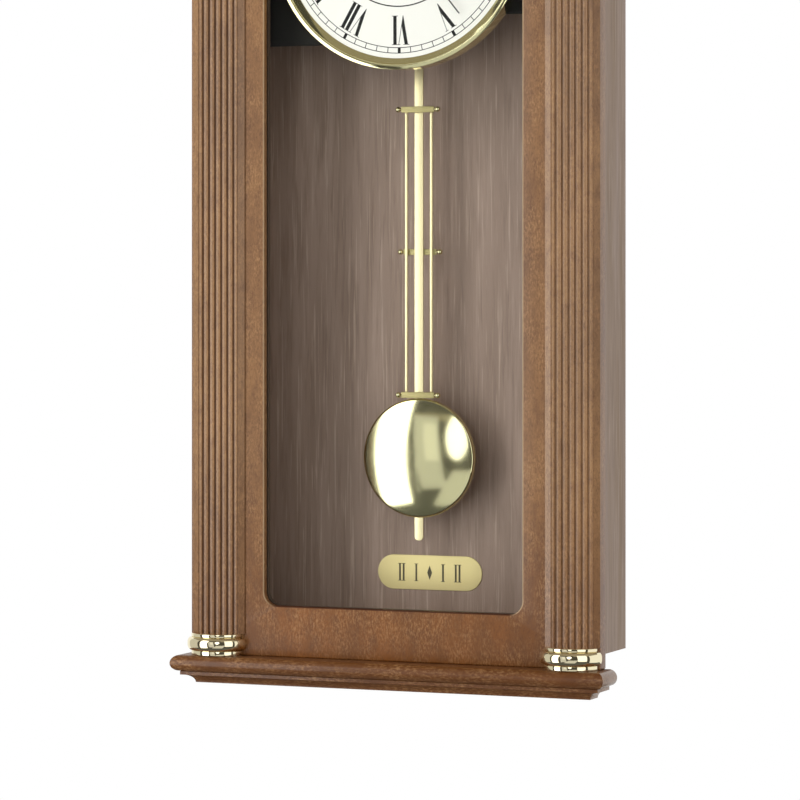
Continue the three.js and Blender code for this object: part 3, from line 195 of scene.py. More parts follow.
def walnut(board):
    dark, light, lacquer, foot, turn = BOARDS[board]
    material, tree, shader, coords = new_material("stained_walnut_" + board)
    turned = add(tree, "ShaderNodeMapping", {"Vector": coords, "Rotation": turn})
    share = {name: stretched_noise(tree, turned, (width, width, length), detail, span, (0.0, most), rough)
             for name, width, length, detail, rough, span, most in GRAIN}
    patched = {0: share["fleck"], 1: share["patch"]}
    share["fleck"] = add(tree, "ShaderNodeMath", patched, operation="MULTIPLY")
    # attributes of a piece: stain and painted shade in hollows, a painted highlight on edges
    for name in ("hollow", "worn"):
        share[name] = add(tree, "ShaderNodeAttribute", attribute_name=name).outputs["Fac"]
    # painted shade that deepens towards the foot of the door
    height = add(tree, "ShaderNodeSeparateXYZ", {"Vector": coords}).outputs["Z"]
    share["foot"] = add(tree, "ShaderNodeMapRange", {
        "Value": height, "From Min": FOOT_SHADE_HIGH * MM, "From Max": FOOT_SHADE_LOW * MM, "To Max": foot})
    colour = layered(tree, dark, [(share[name], stain) for name, stain in (("cloud", light),) + STAINS_AND_PAINTED_LIGHT])
    coat = add(tree, "ShaderNodeMapRange", {"Value": share["hollow"], "To Min": lacquer, "To Max": 0.0})
    bump = add(tree, "ShaderNodeBump", {"Height": share["fleck"], "Strength": 0.1, "Distance": RELIEF})
    feed(tree, shader, {"Base Color": colour, "Coat Weight": coat, "Normal": bump, **LACQUERED})
    return material


WALNUT = {board: walnut(board) for board in BOARDS}
print("walnut for", len(WALNUT), "kinds of board")

# %% [markdown]
# ### Woodgrain laminate
# The case is chipboard with a printed grey-brown woodgrain foil: long upright streaks, low contrast, a
# satin face. Three stretched noises print it: broad bands, dark streaks and fine pale lines. The foil on
# the sides is warmer.

# %% Laminate
STREAKS = (  # width and length in mm, detail, noise where it starts and is full, most, ink
    (22, 260, 2, (0.3, 0.7), 1.0, "ac9586"),
    (2.6, 46, 3, (0.48, 0.72), 0.4, "715c4e"),
    (1.5, 70, 5, (0.57, 0.65), 0.58, "c6b09e"),
)
WAVER = (0.6, 0.3)  # roughness and distortion of the noise
FOIL = {"Roughness": 0.48, "Specular IOR Level": 0.28}


def laminate(name, base):
    material, tree, shader, coords = new_material(name)
    layers = [(stretched_noise(tree, coords, (width, width, length), detail, span, (0.0, most), *WAVER), ink)
              for width, length, detail, span, most, ink in STREAKS]
    bump = add(tree, "ShaderNodeBump", {"Height": layers[-1][0], "Strength": 0.06, "Distance": RELIEF})
    feed(tree, shader, {"Base Color": layered(tree, base, layers), "Normal": bump, **FOIL})
    return material


LAMINATE = laminate("woodgrain_laminate", "957f70")
SIDE_LAMINATE = laminate("woodgrain_laminate_side", "957a5f")
print("laminate of", len(STREAKS), "layers in two tones")

# %% [markdown]
# ### Metals
# The brass is pale rather than orange. The bezel, the finials and the bob's edge are polished, the rings
# are cast and polished, and the bob's lens is spun. The rod and wires are satin, the beat plate is
# brushed and the crossbars are dull. A metal's colour is its reflection, so the nodes only vary its
# roughness: rubbed lines for satin, faint smears for polish.

# %% Metals


def metal(name, hex_colour, roughness, spread, line_mm):
    material, tree, shader, coords = new_material(name)
    reach = (roughness - spread, roughness + spread)
    rubbed = stretched_noise(tree, coords, line_mm, 3.0, (0.3, 0.7), reach)
    feed(tree, shader, {"Base Color": linear(hex_colour), "Roughness": rubbed, "Metallic": 1.0})
    return material


POLISHED_BRASS = metal("polished_brass", "eee6b6", 0.06, 0.02, (9, 9, 9))  # a mirror with faint smears
CAST_BRASS = metal("cast_brass", "f2e7c4", 0.05, 0.02, (9, 9, 9))  # a paler mirror
SPUN_BRASS = metal("spun_brass", "eee6b6", 0.12, 0.02, (20, 20, 20))  # a mirror that blurs a little
SATIN_BRASS = metal("satin_brass", "ecdfb2", 0.4, 0.04, (0.5, 0.5, 12))  # a soft sheen, upright lines
BRUSHED_BRASS = metal("brushed_brass", "e6daa8", 0.74, 0.02, (12, 0.5, 0.5))  # even, with hardly a glint
DULL_BRASS = metal("dull_brass", "a99e71", 0.5, 0.03, (12, 0.5, 0.5))  # darker, as if tarnished
ZINC_STEEL = metal("zinc_plated_steel", "b9bbbe", 0.34, 0.06, (0.8, 0.8, 6))  # cold and cloudy
COPPER = metal("enamelled_copper_wire", "b0602f", 0.35, 0.08, (6, 0.3, 0.3))  # a line for each turn of wire
MAGNET = metal("sintered_magnet", "6b6d70", 0.55, 0.06, (0.6, 0.6, 0.6))  # dark grit
print(len(bpy.data.materials), "materials with the metals")

# %% [markdown]
# ### Paints, plastics and print
# The dial is white enamel, its print black ink. The board behind it and the hands are black; the board's
# near black also stands in for the shade in the upper case, as painted shade. The bead that holds the
# glass is wood, and its dark brown is painted shade for the shaded inside of the case. The movement is
# moulded plastic. Each has a faint mottle in colour and gloss, as a sprayed or moulded face has.

# %% Coatings
GLOSS_SPREAD = 0.05
GRIT_RELIEF = 0.1 * MM


def coating(name, hex_colour, hex_other, roughness, grit_mm, bump_strength=0.0):
    material, tree, shader, coords = new_material(name)
    grain = add(tree, "ShaderNodeTexNoise", {"Vector": coords, "Scale": 1 / (grit_mm * MM), "Detail": 2.0})
    gloss = add(tree, "ShaderNodeMapRange", {
        "Value": grain, "To Min": roughness - GLOSS_SPREAD, "To Max": roughness + GLOSS_SPREAD})
    feed(tree, shader, {"Base Color": layered(tree, hex_colour, [(grain, hex_other)]), "Roughness": gloss})
    if bump_strength:
        bump = {"Height": grain, "Strength": bump_strength, "Distance": GRIT_RELIEF}
        feed(tree, shader, {"Normal": add(tree, "ShaderNodeBump", bump)})
    return material


DIAL_WHITE = coating("white_enamel", "f8f6ec", "faf8f0", 0.42, 4)  # smooth, faintly warm
DIAL_INK = coating("black_printing_ink", "0d0c0a", "141310", 0.85, 2)  # flat black
# the board's near black is partly its paint and partly painted shade for the dark upper case
BLACK_BOARD = coating("black_painted_board", "0a0805", "110e09", 0.9, 1.5, 0.2)  # matt and gritty
BLACK_LACQUER = coating("black_lacquer", "101010", "171717", 0.32, 3)  # a soft gloss
BLACK_PLASTIC = coating("moulded_black_plastic", "202123", "28292b", 0.48, 0.8, 0.15)  # a fine mould texture
WHEEL_PLASTIC = coating("moulded_acetal", "e6e1d2", "eeeadd", 0.42, 2)  # milky
SOLDER_MASK = coating("green_solder_mask", "1d5a35", "236841", 0.4, 2)  # half gloss
# the bead's dark brown is painted shade for the shaded inside beside the window
BEAD_IN_PAINTED_SHADE = coating("dark_stained_bead", "4d3d31", "5a493b", 0.5, 2)  # a dark line round the glass
BATTERY_SLEEVE = coating("printed_battery_sleeve", "37475a", "3f5064", 0.35, 4)  # plain grey-blue
ENGRAVED = coating("dark_filled_engraving", "4a4225", "564d2e", 0.5, 1)  # brown rather than black
print(len(bpy.data.materials), "materials with the coatings")

# %% [markdown]
# ### Window glass
# Clear float glass, 2.5 mm. Glass mostly shows what is behind it and a faint reflection, and it lets
# light into the case. Shadow and diffuse rays pass it as if it weren't there, so that the lamps still
# reach the dial. Its IOR is far below real glass's, to keep the reflection as faint as in the photograph.

# %% Glass


def window_glass():
    material, tree, shader, coords = new_material("float_glass")
    feed(tree, shader, {
        "Base Color": linear("fbfdfc"), "Transmission Weight": 1.0, "Roughness": 0.0, "IOR": 1.08})
    rays = add(tree, "ShaderNodeLightPath").outputs
    clear = add(tree, "ShaderNodeBsdfTransparent")
    passed = {0: rays["Is Shadow Ray"], 1: rays["Is Diffuse Ray"]}
    passed = add(tree, "ShaderNodeMath", passed, operation="MAXIMUM")
    mixed = add(tree, "ShaderNodeMixShader", {0: passed, 1: shader, 2: clear})
    feed(tree, tree.nodes["output"], {"Surface": mixed})
    return material


GLASS = window_glass()
FINISH_OF_SLOT = {
    "walnut": WALNUT["upright"], "walnut_bead": BEAD_IN_PAINTED_SHADE, "laminate": LAMINATE, "glass": GLASS,
    "polished_brass": POLISHED_BRASS, "satin_brass": SATIN_BRASS, "steel": ZINC_STEEL, "copper": COPPER,
    "black_board": BLACK_BOARD, "black_paint": BLACK_LACQUER, "dial_white": DIAL_WHITE, "magnet": MAGNET,
    "black_plastic": BLACK_PLASTIC, "wheel_plastic": WHEEL_PLASTIC, "circuit": SOLDER_MASK,
    "battery_wrap": BATTERY_SLEEVE,
}
print(len(bpy.data.materials), "materials with the glass")

# %% [markdown]
# ## CAD nodes
# Flat pieces such as the case boards, the dial plate and the movement are right as they are and only take
# a finish. The record says which finish slot each node has.

# %% Dress the CAD nodes
for row in frame["record"]["subparts"]:
    slots = frame["nodes"][row["node"]].data.materials
    slots.clear()
    slots.append(SIDE_LAMINATE if "case_side" in row["node"] else FINISH_OF_SLOT[row["material_slot"]])

# %% [markdown]
# ## Mesh helpers
# Most pieces here are lofts: a list of outlines with the same number of points, skinned one to the next.
# A loft that ends in flat caps is a solid bar, and one that closes on itself is a frame. Modifiers could
# do much of this, but a loft puts each edge exactly where the frame's box says. Sizes are written in
# millimetres and turned to metres when the mesh is made.

# %% Helpers for meshes
MERGE = 1e-7  # points closer than this, in metres, become one


def box_mm(node):
    return [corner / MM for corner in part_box(node)]


def mesh_of(name, points, faces):
    mesh = bpy.data.meshes.new(name)
    mesh.from_pydata([tuple(c * MM for c in point) for point in points], [], faces)
    return mesh


def paint(mesh, name, values):
    mesh.attributes.new(name, "FLOAT", "POINT").data.foreach_set("value", values)


def finish_piece(mesh, body, materials, nodes=(), sharp=35):
    bm = bmesh.new()
    bm.from_mesh(mesh)
    bmesh.ops.remove_doubles(bm, verts=bm.verts, dist=MERGE)
    bmesh.ops.recalc_face_normals(bm, faces=bm.faces)
    bm.to_mesh(mesh)
    bm.free()
    mesh.shade_smooth()
    mesh.set_sharp_from_angle(angle=radians(sharp))
    for material in materials:
        mesh.materials.append(material)
    piece = put(mesh.name, mesh)
    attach(piece, body)
    if nodes:
        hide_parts(*nodes)


# %% Helpers for lofts


def skin(rings, closed=False):
    count = len(rings[0])
    points = [point for ring in rings for point in ring]
    faces = []
    for level in range(len(rings) if closed else len(rings) - 1):
        low, high = level * count, ((level + 1) % len(rings)) * count
        for k in range(count):
            after = (k + 1) % count
            faces.append((low + k, low + after, high + after, high + k))
    if not closed:
        faces.append(tuple(range(count))[::-1])
        faces.append(tuple(range((len(rings) - 1) * count, len(rings) * count)))
    return points, faces


def merged(parts):
    points, faces = [], []
    for more_points, more_faces in parts:
        faces += [tuple(k + len(points) for k in face) for face in more_faces]
        points += more_points
    return points, faces


def arc(steps, start, end):
    return [radians(start + (end - start) * k / steps) for k in range(steps + 1)]


def block(left, right, low, high):
    return [(left, low), (right, low), (right, high), (left, high)]


# %% [markdown]
# ## Door frame
# The door is a flat frame with a round-cornered window. Its edges are eased by about a millimetre, and
# that easing catches the light as a thin line. A Bevel modifier could ease a cut board, but the loft also
# knows which points lie on the window's edge: a painted highlight lightens its upright parts, and its lower
# one is painted darker. The loft runs round the frame's section: back, outer edge, front, window edge,
# rebate for the glass. The rails take a redder stain than the stiles.

# %% Door frame
DOOR_LOW, DOOR_HIGH = box_mm("door_frame")
DOOR_BACK, DOOR_FRONT = DOOR_HIGH.y, DOOR_LOW.y
WINDOW = Sizes(half=104.2, low=-506.5, high=112.0, radius=10.0)
REBATE = Sizes(lap=6.3, depth=7.0, radius=0.3)
EASE = 1.2
EASE_STEPS = 4
EDGE_HIGHLIGHT = {"left": 0.45, "right": 0.8}  # how strongly the painted highlight lightens the window's upright edges
LOWER_DARKENING = 0.9  # how far the colour darkens the window's lower edge


def rounded_rectangle(half, low, high, radius, y, steps=10):
    centres = ((half - radius, low + radius, -90), (half - radius, high - radius, 0),
               (radius - half, high - radius, 90), (radius - half, low + radius, 180))
    return [(x + radius * cos(angle), y, z + radius * sin(angle))
            for x, z, start in centres for angle in arc(steps, start, start + 90)]


def outer(inset, y):
    low, high = DOOR_LOW.z + inset, DOOR_HIGH.z - inset
    return rounded_rectangle(DOOR_HIGH.x - inset, low, high, EASE - inset / 2, y)


def window(outset, y, radius):
    low, high = WINDOW.low - outset, WINDOW.high + outset
    return rounded_rectangle(WINDOW.half + outset, low, high, radius, y)


def door_frame():
    rings = [outer(0, DOOR_BACK)]
    for angle in arc(EASE_STEPS, 0, 90):
        rings.append(outer(EASE * (1 - cos(angle)), DOOR_FRONT + EASE * (1 - sin(angle))))
    turn = len(rings)  # the ring where the face turns into the window's edge
    edge = [0.0] * turn
    for angle in arc(EASE_STEPS, 0, 90):
        outset = EASE * (1 - sin(angle))
        rings.append(window(outset, DOOR_FRONT + EASE * (1 - cos(angle)), WINDOW.radius + outset))
        edge.append(sin(2 * angle))
    seat = DOOR_BACK - REBATE.depth
    rings.append(window(0, seat, WINDOW.radius))
    rings += [window(REBATE.lap, y, REBATE.radius) for y in (seat, DOOR_BACK)]
    edge += [0.0] * (len(rings) - len(edge))
    worn, lower_darkening = [], []
    for level, (share, ring) in enumerate(zip(edge, rings)):
        for x, y, z in ring:
            # the upright edges take the painted highlight; the lower edge of the window is darkened
            upright = min(max((abs(x) - WINDOW.half) / WINDOW.radius + 1, 0), 1)
            worn.append(share * upright * EDGE_HIGHLIGHT["left" if x < 0 else "right"])
            lower_darkening.append(LOWER_DARKENING * (1 - upright) if level > turn and z < 0 else 0.0)
    return skin(rings, closed=True), worn, lower_darkening


frame_loft, frame_edge_highlight, frame_lower_darkening = door_frame()
frame_mesh = mesh_of("door_frame_wood", *frame_loft)
paint(frame_mesh, "worn", frame_edge_highlight)
paint(frame_mesh, "hollow", frame_lower_darkening)
window_middle = (WINDOW.low + WINDOW.high) / 2
window_reach = (WINDOW.high - WINDOW.low) / 2
for face in frame_mesh.polygons:
    past_window = abs(face.center.z / MM - window_middle) > window_reach
    face.material_index = 1 if past_window and abs(face.center.x / MM) < WINDOW.half else 0
finish_piece(frame_mesh, "door", (WALNUT["upright"], WALNUT["rail"]), ["door_frame"])
print("door frame", len(frame_mesh.polygons), "faces")

# %% [markdown]
# ## Fluted pilasters
# A low strip with six round grooves stands on each stile. The ridges between the grooves are rounded, and
# a fine line is cut beside the grooves on both sides. The flanks slope a little, and the right one carries
# painted shade. The bottoms of the grooves are darkened by stain and painted shade, more on the left strip.
# The plan is drawn point by point and raised to the full height: cutting grooves with Booleans would leave
# fewer points, and the grooves wouldn't shade smoothly.

# %% Pilasters
PILASTER = Sizes(width=43.0, shift=1.4, projection=2.7, step=1.2, crown=0.22)
FLUTE = Sizes(count=6, pitch=5.1, width=1.9, depth=1.2)
LINE = Sizes(beside=3.5, half=0.3, depth=0.4)
FLUTE_STEPS = 12
RIDGE_STEPS = 6
GROOVE_STAIN_AND_SHADE = {"left": 0.8, "right": 0.2}  # how far stain and painted shade darken the bottom of a groove
SHADE = 0.3  # painted shade on the right-hand flank


# stain is the share of stain and painted shade at the bottom of each groove
def pilaster_plan(stain):
    half, front, crown = PILASTER.width / 2, -PILASTER.projection, PILASTER.crown
    shoulder = front + crown
    pitch, groove = FLUTE.pitch, FLUTE.width
    first = -(FLUTE.count - 1) * pitch / 2
    line, slit = first - LINE.beside, LINE.half
    ridge = (line + slit + first - groove / 2) / 2
    flank = [(-half, 0.0, 0.0), (-half, -PILASTER.step, 0.0), (line - slit, shoulder, 0.0),
             (line, LINE.depth + shoulder, stain), (line + slit, shoulder, 0.0), (ridge, front, 0.0)]
    plan = list(flank)
    for flute in range(FLUTE.count):
        middle = first + flute * pitch
        for angle in arc(FLUTE_STEPS, 0, 180):
            deep = crown + FLUTE.depth * sin(angle)
            plan.append((middle - groove / 2 * cos(angle), front + deep, stain * sin(angle) ** 2))
        if flute < FLUTE.count - 1:
            for k in range(1, RIDGE_STEPS):
                across = 2 * k / RIDGE_STEPS - 1
                x = middle + pitch / 2 + across * (pitch - groove) / 2
                plan.append((x, front + crown * across ** 2, 0.0))
    # the right-hand flank, mirrored from the left, takes painted shade
    return plan + [(-x, y, max(hollow, SHADE if x < line else 0.0)) for x, y, hollow in reversed(flank)]


for side in ("left", "right"):
    low, high = box_mm("pilaster_" + side)
    centre = (low.x + high.x) / 2 + PILASTER.shift
    plan = pilaster_plan(GROOVE_STAIN_AND_SHADE[side])
    rings = [[(centre + x, DOOR_FRONT + y, z) for x, y, hollow in plan] for z in (low.z, high.z)]
    shaft = mesh_of("pilaster_wood_" + side, *skin(rings))
    paint(shaft, "hollow", [hollow for x, y, hollow in plan] * len(rings))
    finish_piece(shaft, "door", [WALNUT["fluted"]], ["pilaster_" + side], sharp=50)
print("pilaster plan of", len(plan), "points")

# %% [markdown]
# ## Brass rings
# At each end of a pilaster sits a cast brass ring in three tiers: foot, fat torus, collar, with a thin
# quirk between. A lathe would make it round, but its plan is half an ellipse, so it is a loft of that
# plan, spread by the ring's profile. The torus is barrel-shaped, so that it mirrors a tall lamp over most
# of its height, and the edges of the flat tiers are rounded so that they glint.

# %% Brass rings
RING = Sizes(width=41.4, projection=17.0, foot=3.6, torus=10.1, collar=2.7, bulge=3.1,
             quirk=0.6, barrel=2.5, round=0.5)
RING_STEPS = 72
TORUS_STEPS = 20
ROUND_STEPS = 3
FOOT_START = 30  # degrees at which the rounding of the lowest edge starts


def ring_levels():
    top = RING.foot + RING.torus
    power, r = 2 / RING.barrel, RING.round

    def swell(base, start=0):
        return [(base + r - r * cos(a), -r + r * sin(a)) for a in arc(ROUND_STEPS, start, 90)]

    def ebb(tip):
        return [(tip - r + r * sin(a), -r + r * cos(a)) for a in arc(ROUND_STEPS, 0, 90)]

    levels = [(0, -r)] + swell(0, FOOT_START) + ebb(RING.foot)
    for angle in arc(TORUS_STEPS, 0, 180):
        up = copysign(abs(cos(angle)) ** power, cos(angle))
        levels.append((RING.foot + RING.torus * (1 - up) / 2,
                       -RING.quirk + (RING.bulge + RING.quirk) * abs(sin(angle)) ** power))
    return levels + swell(top) + ebb(top + RING.collar)


def ring_plan(spread, centre, z):
    half, reach = RING.width / 2 + spread, RING.projection + spread
    return [(centre - half * cos(a), DOOR_FRONT - reach * sin(a), z) for a in arc(RING_STEPS, 0, 180)]


for name in ("brass_base_left", "brass_base_right", "brass_capital_left", "brass_capital_right"):
    low, high = box_mm(name)
    start, up = (low.z, 1) if "base" in name else (high.z, -1)
    rings = [ring_plan(spread, (low.x + high.x) / 2, start + up * rise) for rise, spread in ring_levels()]
    ring = mesh_of(name + "_cast", *skin(rings))
    finish_piece(ring, "door", [CAST_BRASS], [name], sharp=50)
print("ring profile of", len(ring_levels()), "levels")

# %% [markdown]
# ## Base and cornice mouldings
# A bullnose, a flat fillet and a small cove run across the front and return, mitred, along both ends of
# the door. Three bars could be mitred and joined, but one loft has no joints to hide: each level of the
# profile is an open-backed rectangle in plan. The mitre's sharp edge is eased by half a millimetre.

# %% Mouldings
RETURN_INSET = 11.0
MITRE_EASE = 0.5
NOSE_STEPS, COVE_STEPS, MITRE_STEPS = 28, 12, 3
END_FACING = 0.3  # a face whose normal points sideways more than this may be a return
BASE = Sizes(nose=20.0, nose_height=12.0, fillet=14.0, fillet_height=3.0, foot=5.0, cove=6.2)
CORNICE = Sizes(nose=22.0, nose_height=11.0, fillet=16.5, fillet_height=4.0, foot=4.0, cove=12.0)


def moulding_levels(sizes):
    radius, fillet, ease = sizes.nose_height / 2, sizes.fillet, MITRE_EASE
    levels = [(radius * (1 - cos(a)), sizes.nose - radius + radius * sin(a))
              for a in arc(NOSE_STEPS, 0, 180)]
    top, bottom = sizes.nose_height, sizes.nose_height + sizes.fillet_height
    levels += [(top, fillet - ease), (top + ease, fillet), (bottom - ease, fillet)]
    levels += [(bottom + sizes.cove * (1 - cos(a)), fillet - (fillet - sizes.foot) * sin(a))
               for a in arc(COVE_STEPS, 0, 90)]
    return levels


def moulding_ring(offset, z):
    half, front, ease = DOOR_HIGH.x - RETURN_INSET + offset, DOOR_FRONT - offset, MITRE_EASE
    turn = arc(MITRE_STEPS, 0, 90)
    left = [(-half + ease - ease * cos(a), front + ease - ease * sin(a), z) for a in turn]
    right = [(half - ease + ease * sin(a), front + ease - ease * cos(a), z) for a in turn]
    return [(-half, DOOR_BACK, z)] + left + right + [(half, DOOR_BACK, z)]


for name, sizes in (("base_moulding", BASE), ("cornice_moulding", CORNICE)):
    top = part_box(name)[1].z / MM
    rings = [moulding_ring(offset, top - down) for down, offset in moulding_levels(sizes)]
    strip = mesh_of(name + "_wood", *skin(rings))
    # Faces that look sideways take the grey returns colour, which is painted sheen; the darker moulding
    # colour is partly painted shade.
    for face in strip.polygons:
        face.material_index = 1 if abs(face.normal.x) > max(abs(face.normal.y), END_FACING) else 0
    finish_piece(strip, "door", (WALNUT["moulding"], WALNUT["returns"]), [name], sharp=40)
print("mouldings of", len(moulding_levels(BASE)), "levels")

# %% [markdown]
# ## Dial board
# The black board behind the dial is cut away at its lower right, and the corner there is rounded, so that
# it stays behind the bezel. A copy of the CAD solid is merged, its flat faces are joined again, and the
# one edge at the corner is bevelled.

# %% Dial board
BOARD_CORNER = 12.0
CORNER_STEPS = 6
BOARD_MERGE = 1e-6
FLAT = 0.01  # radians under which two faces are one flat face
board = frame["nodes"]["dial_board"].data.copy()
board.name = "dial_board_painted"
board.materials.clear()
bm = bmesh.new()
bm.from_mesh(board)
bmesh.ops.remove_doubles(bm, verts=bm.verts, dist=BOARD_MERGE)
bmesh.ops.dissolve_limit(bm, angle_limit=FLAT, verts=bm.verts, edges=bm.edges)
lowest = min(vert.co.z for vert in bm.verts)
rightmost = max(vert.co.x for vert in bm.verts if vert.co.z < lowest + MM)
corner = [edge for edge in bm.edges
          if all(vert.co.z < lowest + MM and vert.co.x > rightmost - MM for vert in edge.verts)]
bmesh.ops.bevel(bm, geom=corner, offset=BOARD_CORNER * MM, segments=CORNER_STEPS, profile=0.5, affect="EDGES")
bm.to_mesh(board)
bm.free()
finish_piece(board, "case", [BLACK_BOARD], ["dial_board"])
print("dial board", len(board.polygons), "faces,", len(corner), "rounded edge")

# %% [markdown]
# ## Bezel
# The bezel is a spun brass ring: a bevelled rim with a rounded edge, a rolled crest, a sloping band and a
# thin lip on the dial. A spun part is a lathe: one half section turned about the hands' axis in many
# small steps. A Screw modifier would do the same, but the section's points are wanted exactly.

# %% Bezel
BOARD_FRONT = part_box("dial_board")[0].y / MM
DIAL_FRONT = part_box("dial_plate")[0].y / MM
BEZEL = Sizes(radius=102.6, opening=93.9, inside=95.4, rise=4.2, edge=0.5, crest=99.9,
              bevel=radians(9.5), roll=1.3, sink=2.0)
LIP = Sizes(rise=0.5, slope=0.2, width=0.4, clear=0.1)
CIRCLE_STEPS = 180
RIM_STEPS, RIM_END, ROLL_STEPS = 5, 80, 8


def lathe(section, steps, z=0.0):
    return [[(radius * sin(a), y, z + radius * cos(a)) for a in arc(steps, 0, 360)[:-1]]
            for radius, y in section]


def bezel_section():
    front, radius, opening = DIAL_FRONT - BEZEL.rise, BEZEL.radius, BEZEL.opening
    edge, crest = BEZEL.edge, BEZEL.crest
    rim = radius - edge
    drop = (rim - crest) * tan(BEZEL.bevel)
    section = [(BEZEL.inside, BOARD_FRONT), (radius, BOARD_FRONT)]
    section += [(rim + edge * cos(a), front + drop + edge - edge * sin(a))
                for a in arc(RIM_STEPS, 0, RIM_END)]
    section += [(crest + (rim - crest) * share, front + drop * share) for share in (0.66, 0.33)]
    section += [(crest - BEZEL.roll * sin(a), front + BEZEL.sink * (1 - cos(a)))
                for a in arc(ROLL_STEPS, 0, 90)]
    lip, foot = DIAL_FRONT - LIP.rise, DIAL_FRONT - LIP.clear
    return section + [(opening + LIP.width, lip - LIP.slope), (opening, lip), (opening, foot),
                      (BEZEL.inside, foot)]


bezel = mesh_of("bezel_spun", *skin(lathe(bezel_section(), CIRCLE_STEPS), closed=True))
finish_piece(bezel, "case", [POLISHED_BRASS], ["bezel_ring"], sharp=40)
print("bezel", len(bezel.polygons), "faces")

# %% [markdown]
# ## Dial print
# The print is black ink: a minute track of two thin lines with a tick at each minute and a block at each
# hour, tall Roman numerals whose feet point to the centre, and one thin circle inside them. The ticks
# repeat by a rule, so Geometry Nodes place them on a circle. The numerals are built from strokes.

# %% Helpers for Geometry Nodes


def node_group(name, sockets):
    tree = bpy.data.node_groups.new(name, "GeometryNodeTree")
    for label, kind in sockets.items():
        tree.interface.new_socket(label, in_out="INPUT", socket_type="NodeSocket" + kind)
    tree.interface.new_socket("Geometry", in_out="OUTPUT", socket_type="NodeSocketGeometry")
    return tree, add(tree, "NodeGroupInput").outputs


def grown(name, tree, values, start=None):
    holder = put(name + "_holder", start or bpy.data.meshes.new(name + "_start"))
    modifier = holder.modifiers.new("nodes", "NODES")
    modifier.node_group = tree
    for item in tree.interface.items_tree:
        if item.in_out == "INPUT" and item.name in values:
            modifier[item.identifier] = values[item.name]
    view = bpy.context.evaluated_depsgraph_get()
    mesh = bpy.data.meshes.new_from_object(holder.evaluated_get(view))
    bpy.data.objects.remove(holder)
    mesh.name = name
    return mesh


# %% Minute track by Geometry Nodes
INK = 0.06
TRACK = Sizes(inner=85.9, outer=90.0, line=0.55, block=2.3, circle=54.9, circle_line=0.9)


def tick_tree():
    sizes = dict.fromkeys(("Radius", "Width", "Length", "Thickness", "Depth"), "Float")
    counts = dict.fromkeys(("Count", "Every", "Skip"), "Int")
    tree, given = node_group("dial_ticks", {**sizes, **counts, "Ink": "Material"})
    index = add(tree, "GeometryNodeInputIndex")
    share = add(tree, "ShaderNodeMath", {0: index, 1: given["Count"]}, operation="DIVIDE")
    angle = add(tree, "ShaderNodeMath", {0: share, 1: 2 * pi}, operation="MULTIPLY")
    place = {"Y": given["Depth"]}
    for axis, wave in (("X", "SINE"), ("Z", "COSINE")):
        along = add(tree, "ShaderNodeMath", {0: angle}, operation=wave)
        place[axis] = add(tree, "ShaderNodeMath", {0: along, 1: given["Radius"]}, operation="MULTIPLY")
    place = add(tree, "ShaderNodeCombineXYZ", place)
    turn = add(tree, "ShaderNodeCombineXYZ", {"Y": angle})
    points = add(tree, "GeometryNodePoints", {"Count": given["Count"], "Position": place})
    size = {"X": given["Width"], "Y": given["Thickness"], "Z": given["Length"]}
    tick = add(tree, "GeometryNodeMeshCube", {"Size": add(tree, "ShaderNodeCombineXYZ", size)})
    left = add(tree, "ShaderNodeMath", {0: index, 1: given["Every"]}, operation="MODULO")
    on_hour = add(tree, "ShaderNodeMath", {0: left, 1: 0.5}, operation="LESS_THAN")
    chosen = add(tree, "ShaderNodeMath", {0: on_hour, 1: given["Skip"]}, operation="SUBTRACT")
    chosen = add(tree, "ShaderNodeMath", {0: chosen}, operation="ABSOLUTE")
    copies = add(tree, "GeometryNodeInstanceOnPoints", {
        "Points": points, "Instance": tick, "Rotation": turn, "Selection": chosen})
    real = add(tree, "GeometryNodeRealizeInstances", {0: copies})
    inked = add(tree, "GeometryNodeSetMaterial", {"Geometry": real, "Material": given["Ink"]})
    add(tree, "NodeGroupOutput", {"Geometry": inked})
    return tree


TICKS = tick_tree()
TICK_SIZES = {"Radius": (TRACK.inner + TRACK.outer) / 2 * MM, "Thickness": INK * MM,
              "Length": (TRACK.outer - TRACK.inner) * MM, "Depth": (DIAL_FRONT - INK / 2) * MM,
              "Count": 60, "Every": 5, "Ink": DIAL_INK}
for name, width, skip in (("minute_ticks", TRACK.line, 1), ("hour_blocks", TRACK.block, 0)):
    ticks = grown(name, TICKS, {**TICK_SIZES, "Width": width * MM, "Skip": skip})
    ticks.materials.pop(index=0)  # an empty slot comes before the ink's
    finish_piece(ticks, "case", ())
    print(name, len(ticks.polygons), "faces")

# %% Thin circles
lines = []
for radius, line in ((TRACK.circle, TRACK.circle_line), (TRACK.inner, TRACK.line),
                     (TRACK.outer, TRACK.line)):
    section = block(radius - line / 2, radius + line / 2, DIAL_FRONT, DIAL_FRONT - INK)
    lines.append(skin(lathe(section, CIRCLE_STEPS), closed=True))
circles = mesh_of("dial_circles", *merged(lines))
finish_piece(circles, "case", [DIAL_INK])
print(len(lines), "thin circles")

# %% [markdown]
# A numeral is set out upright at twelve, stroke by stroke, then turned to its hour. A font would give the
# letters, but not this narrow cut: a thick stroke is about an eighth of the height, and the thin strokes
# and serifs are hairlines.

# %% Roman numerals
NUMERAL = Sizes(foot=61.9, head=83.8, stem=2.7, hair=0.4, serif=1.1)
ADVANCE = {"I": 3.9, "V": 9.6, "X": 10.2}
HALF_WIDTH = {"V": 3.9, "X": 4.3}
OVERHANG = 1.35  # a numeral that begins with V is set this much to its left
HOURS = ("XII", "I", "II", "III", "IIII", "V", "VI", "VII", "VIII", "IX", "X", "XI")


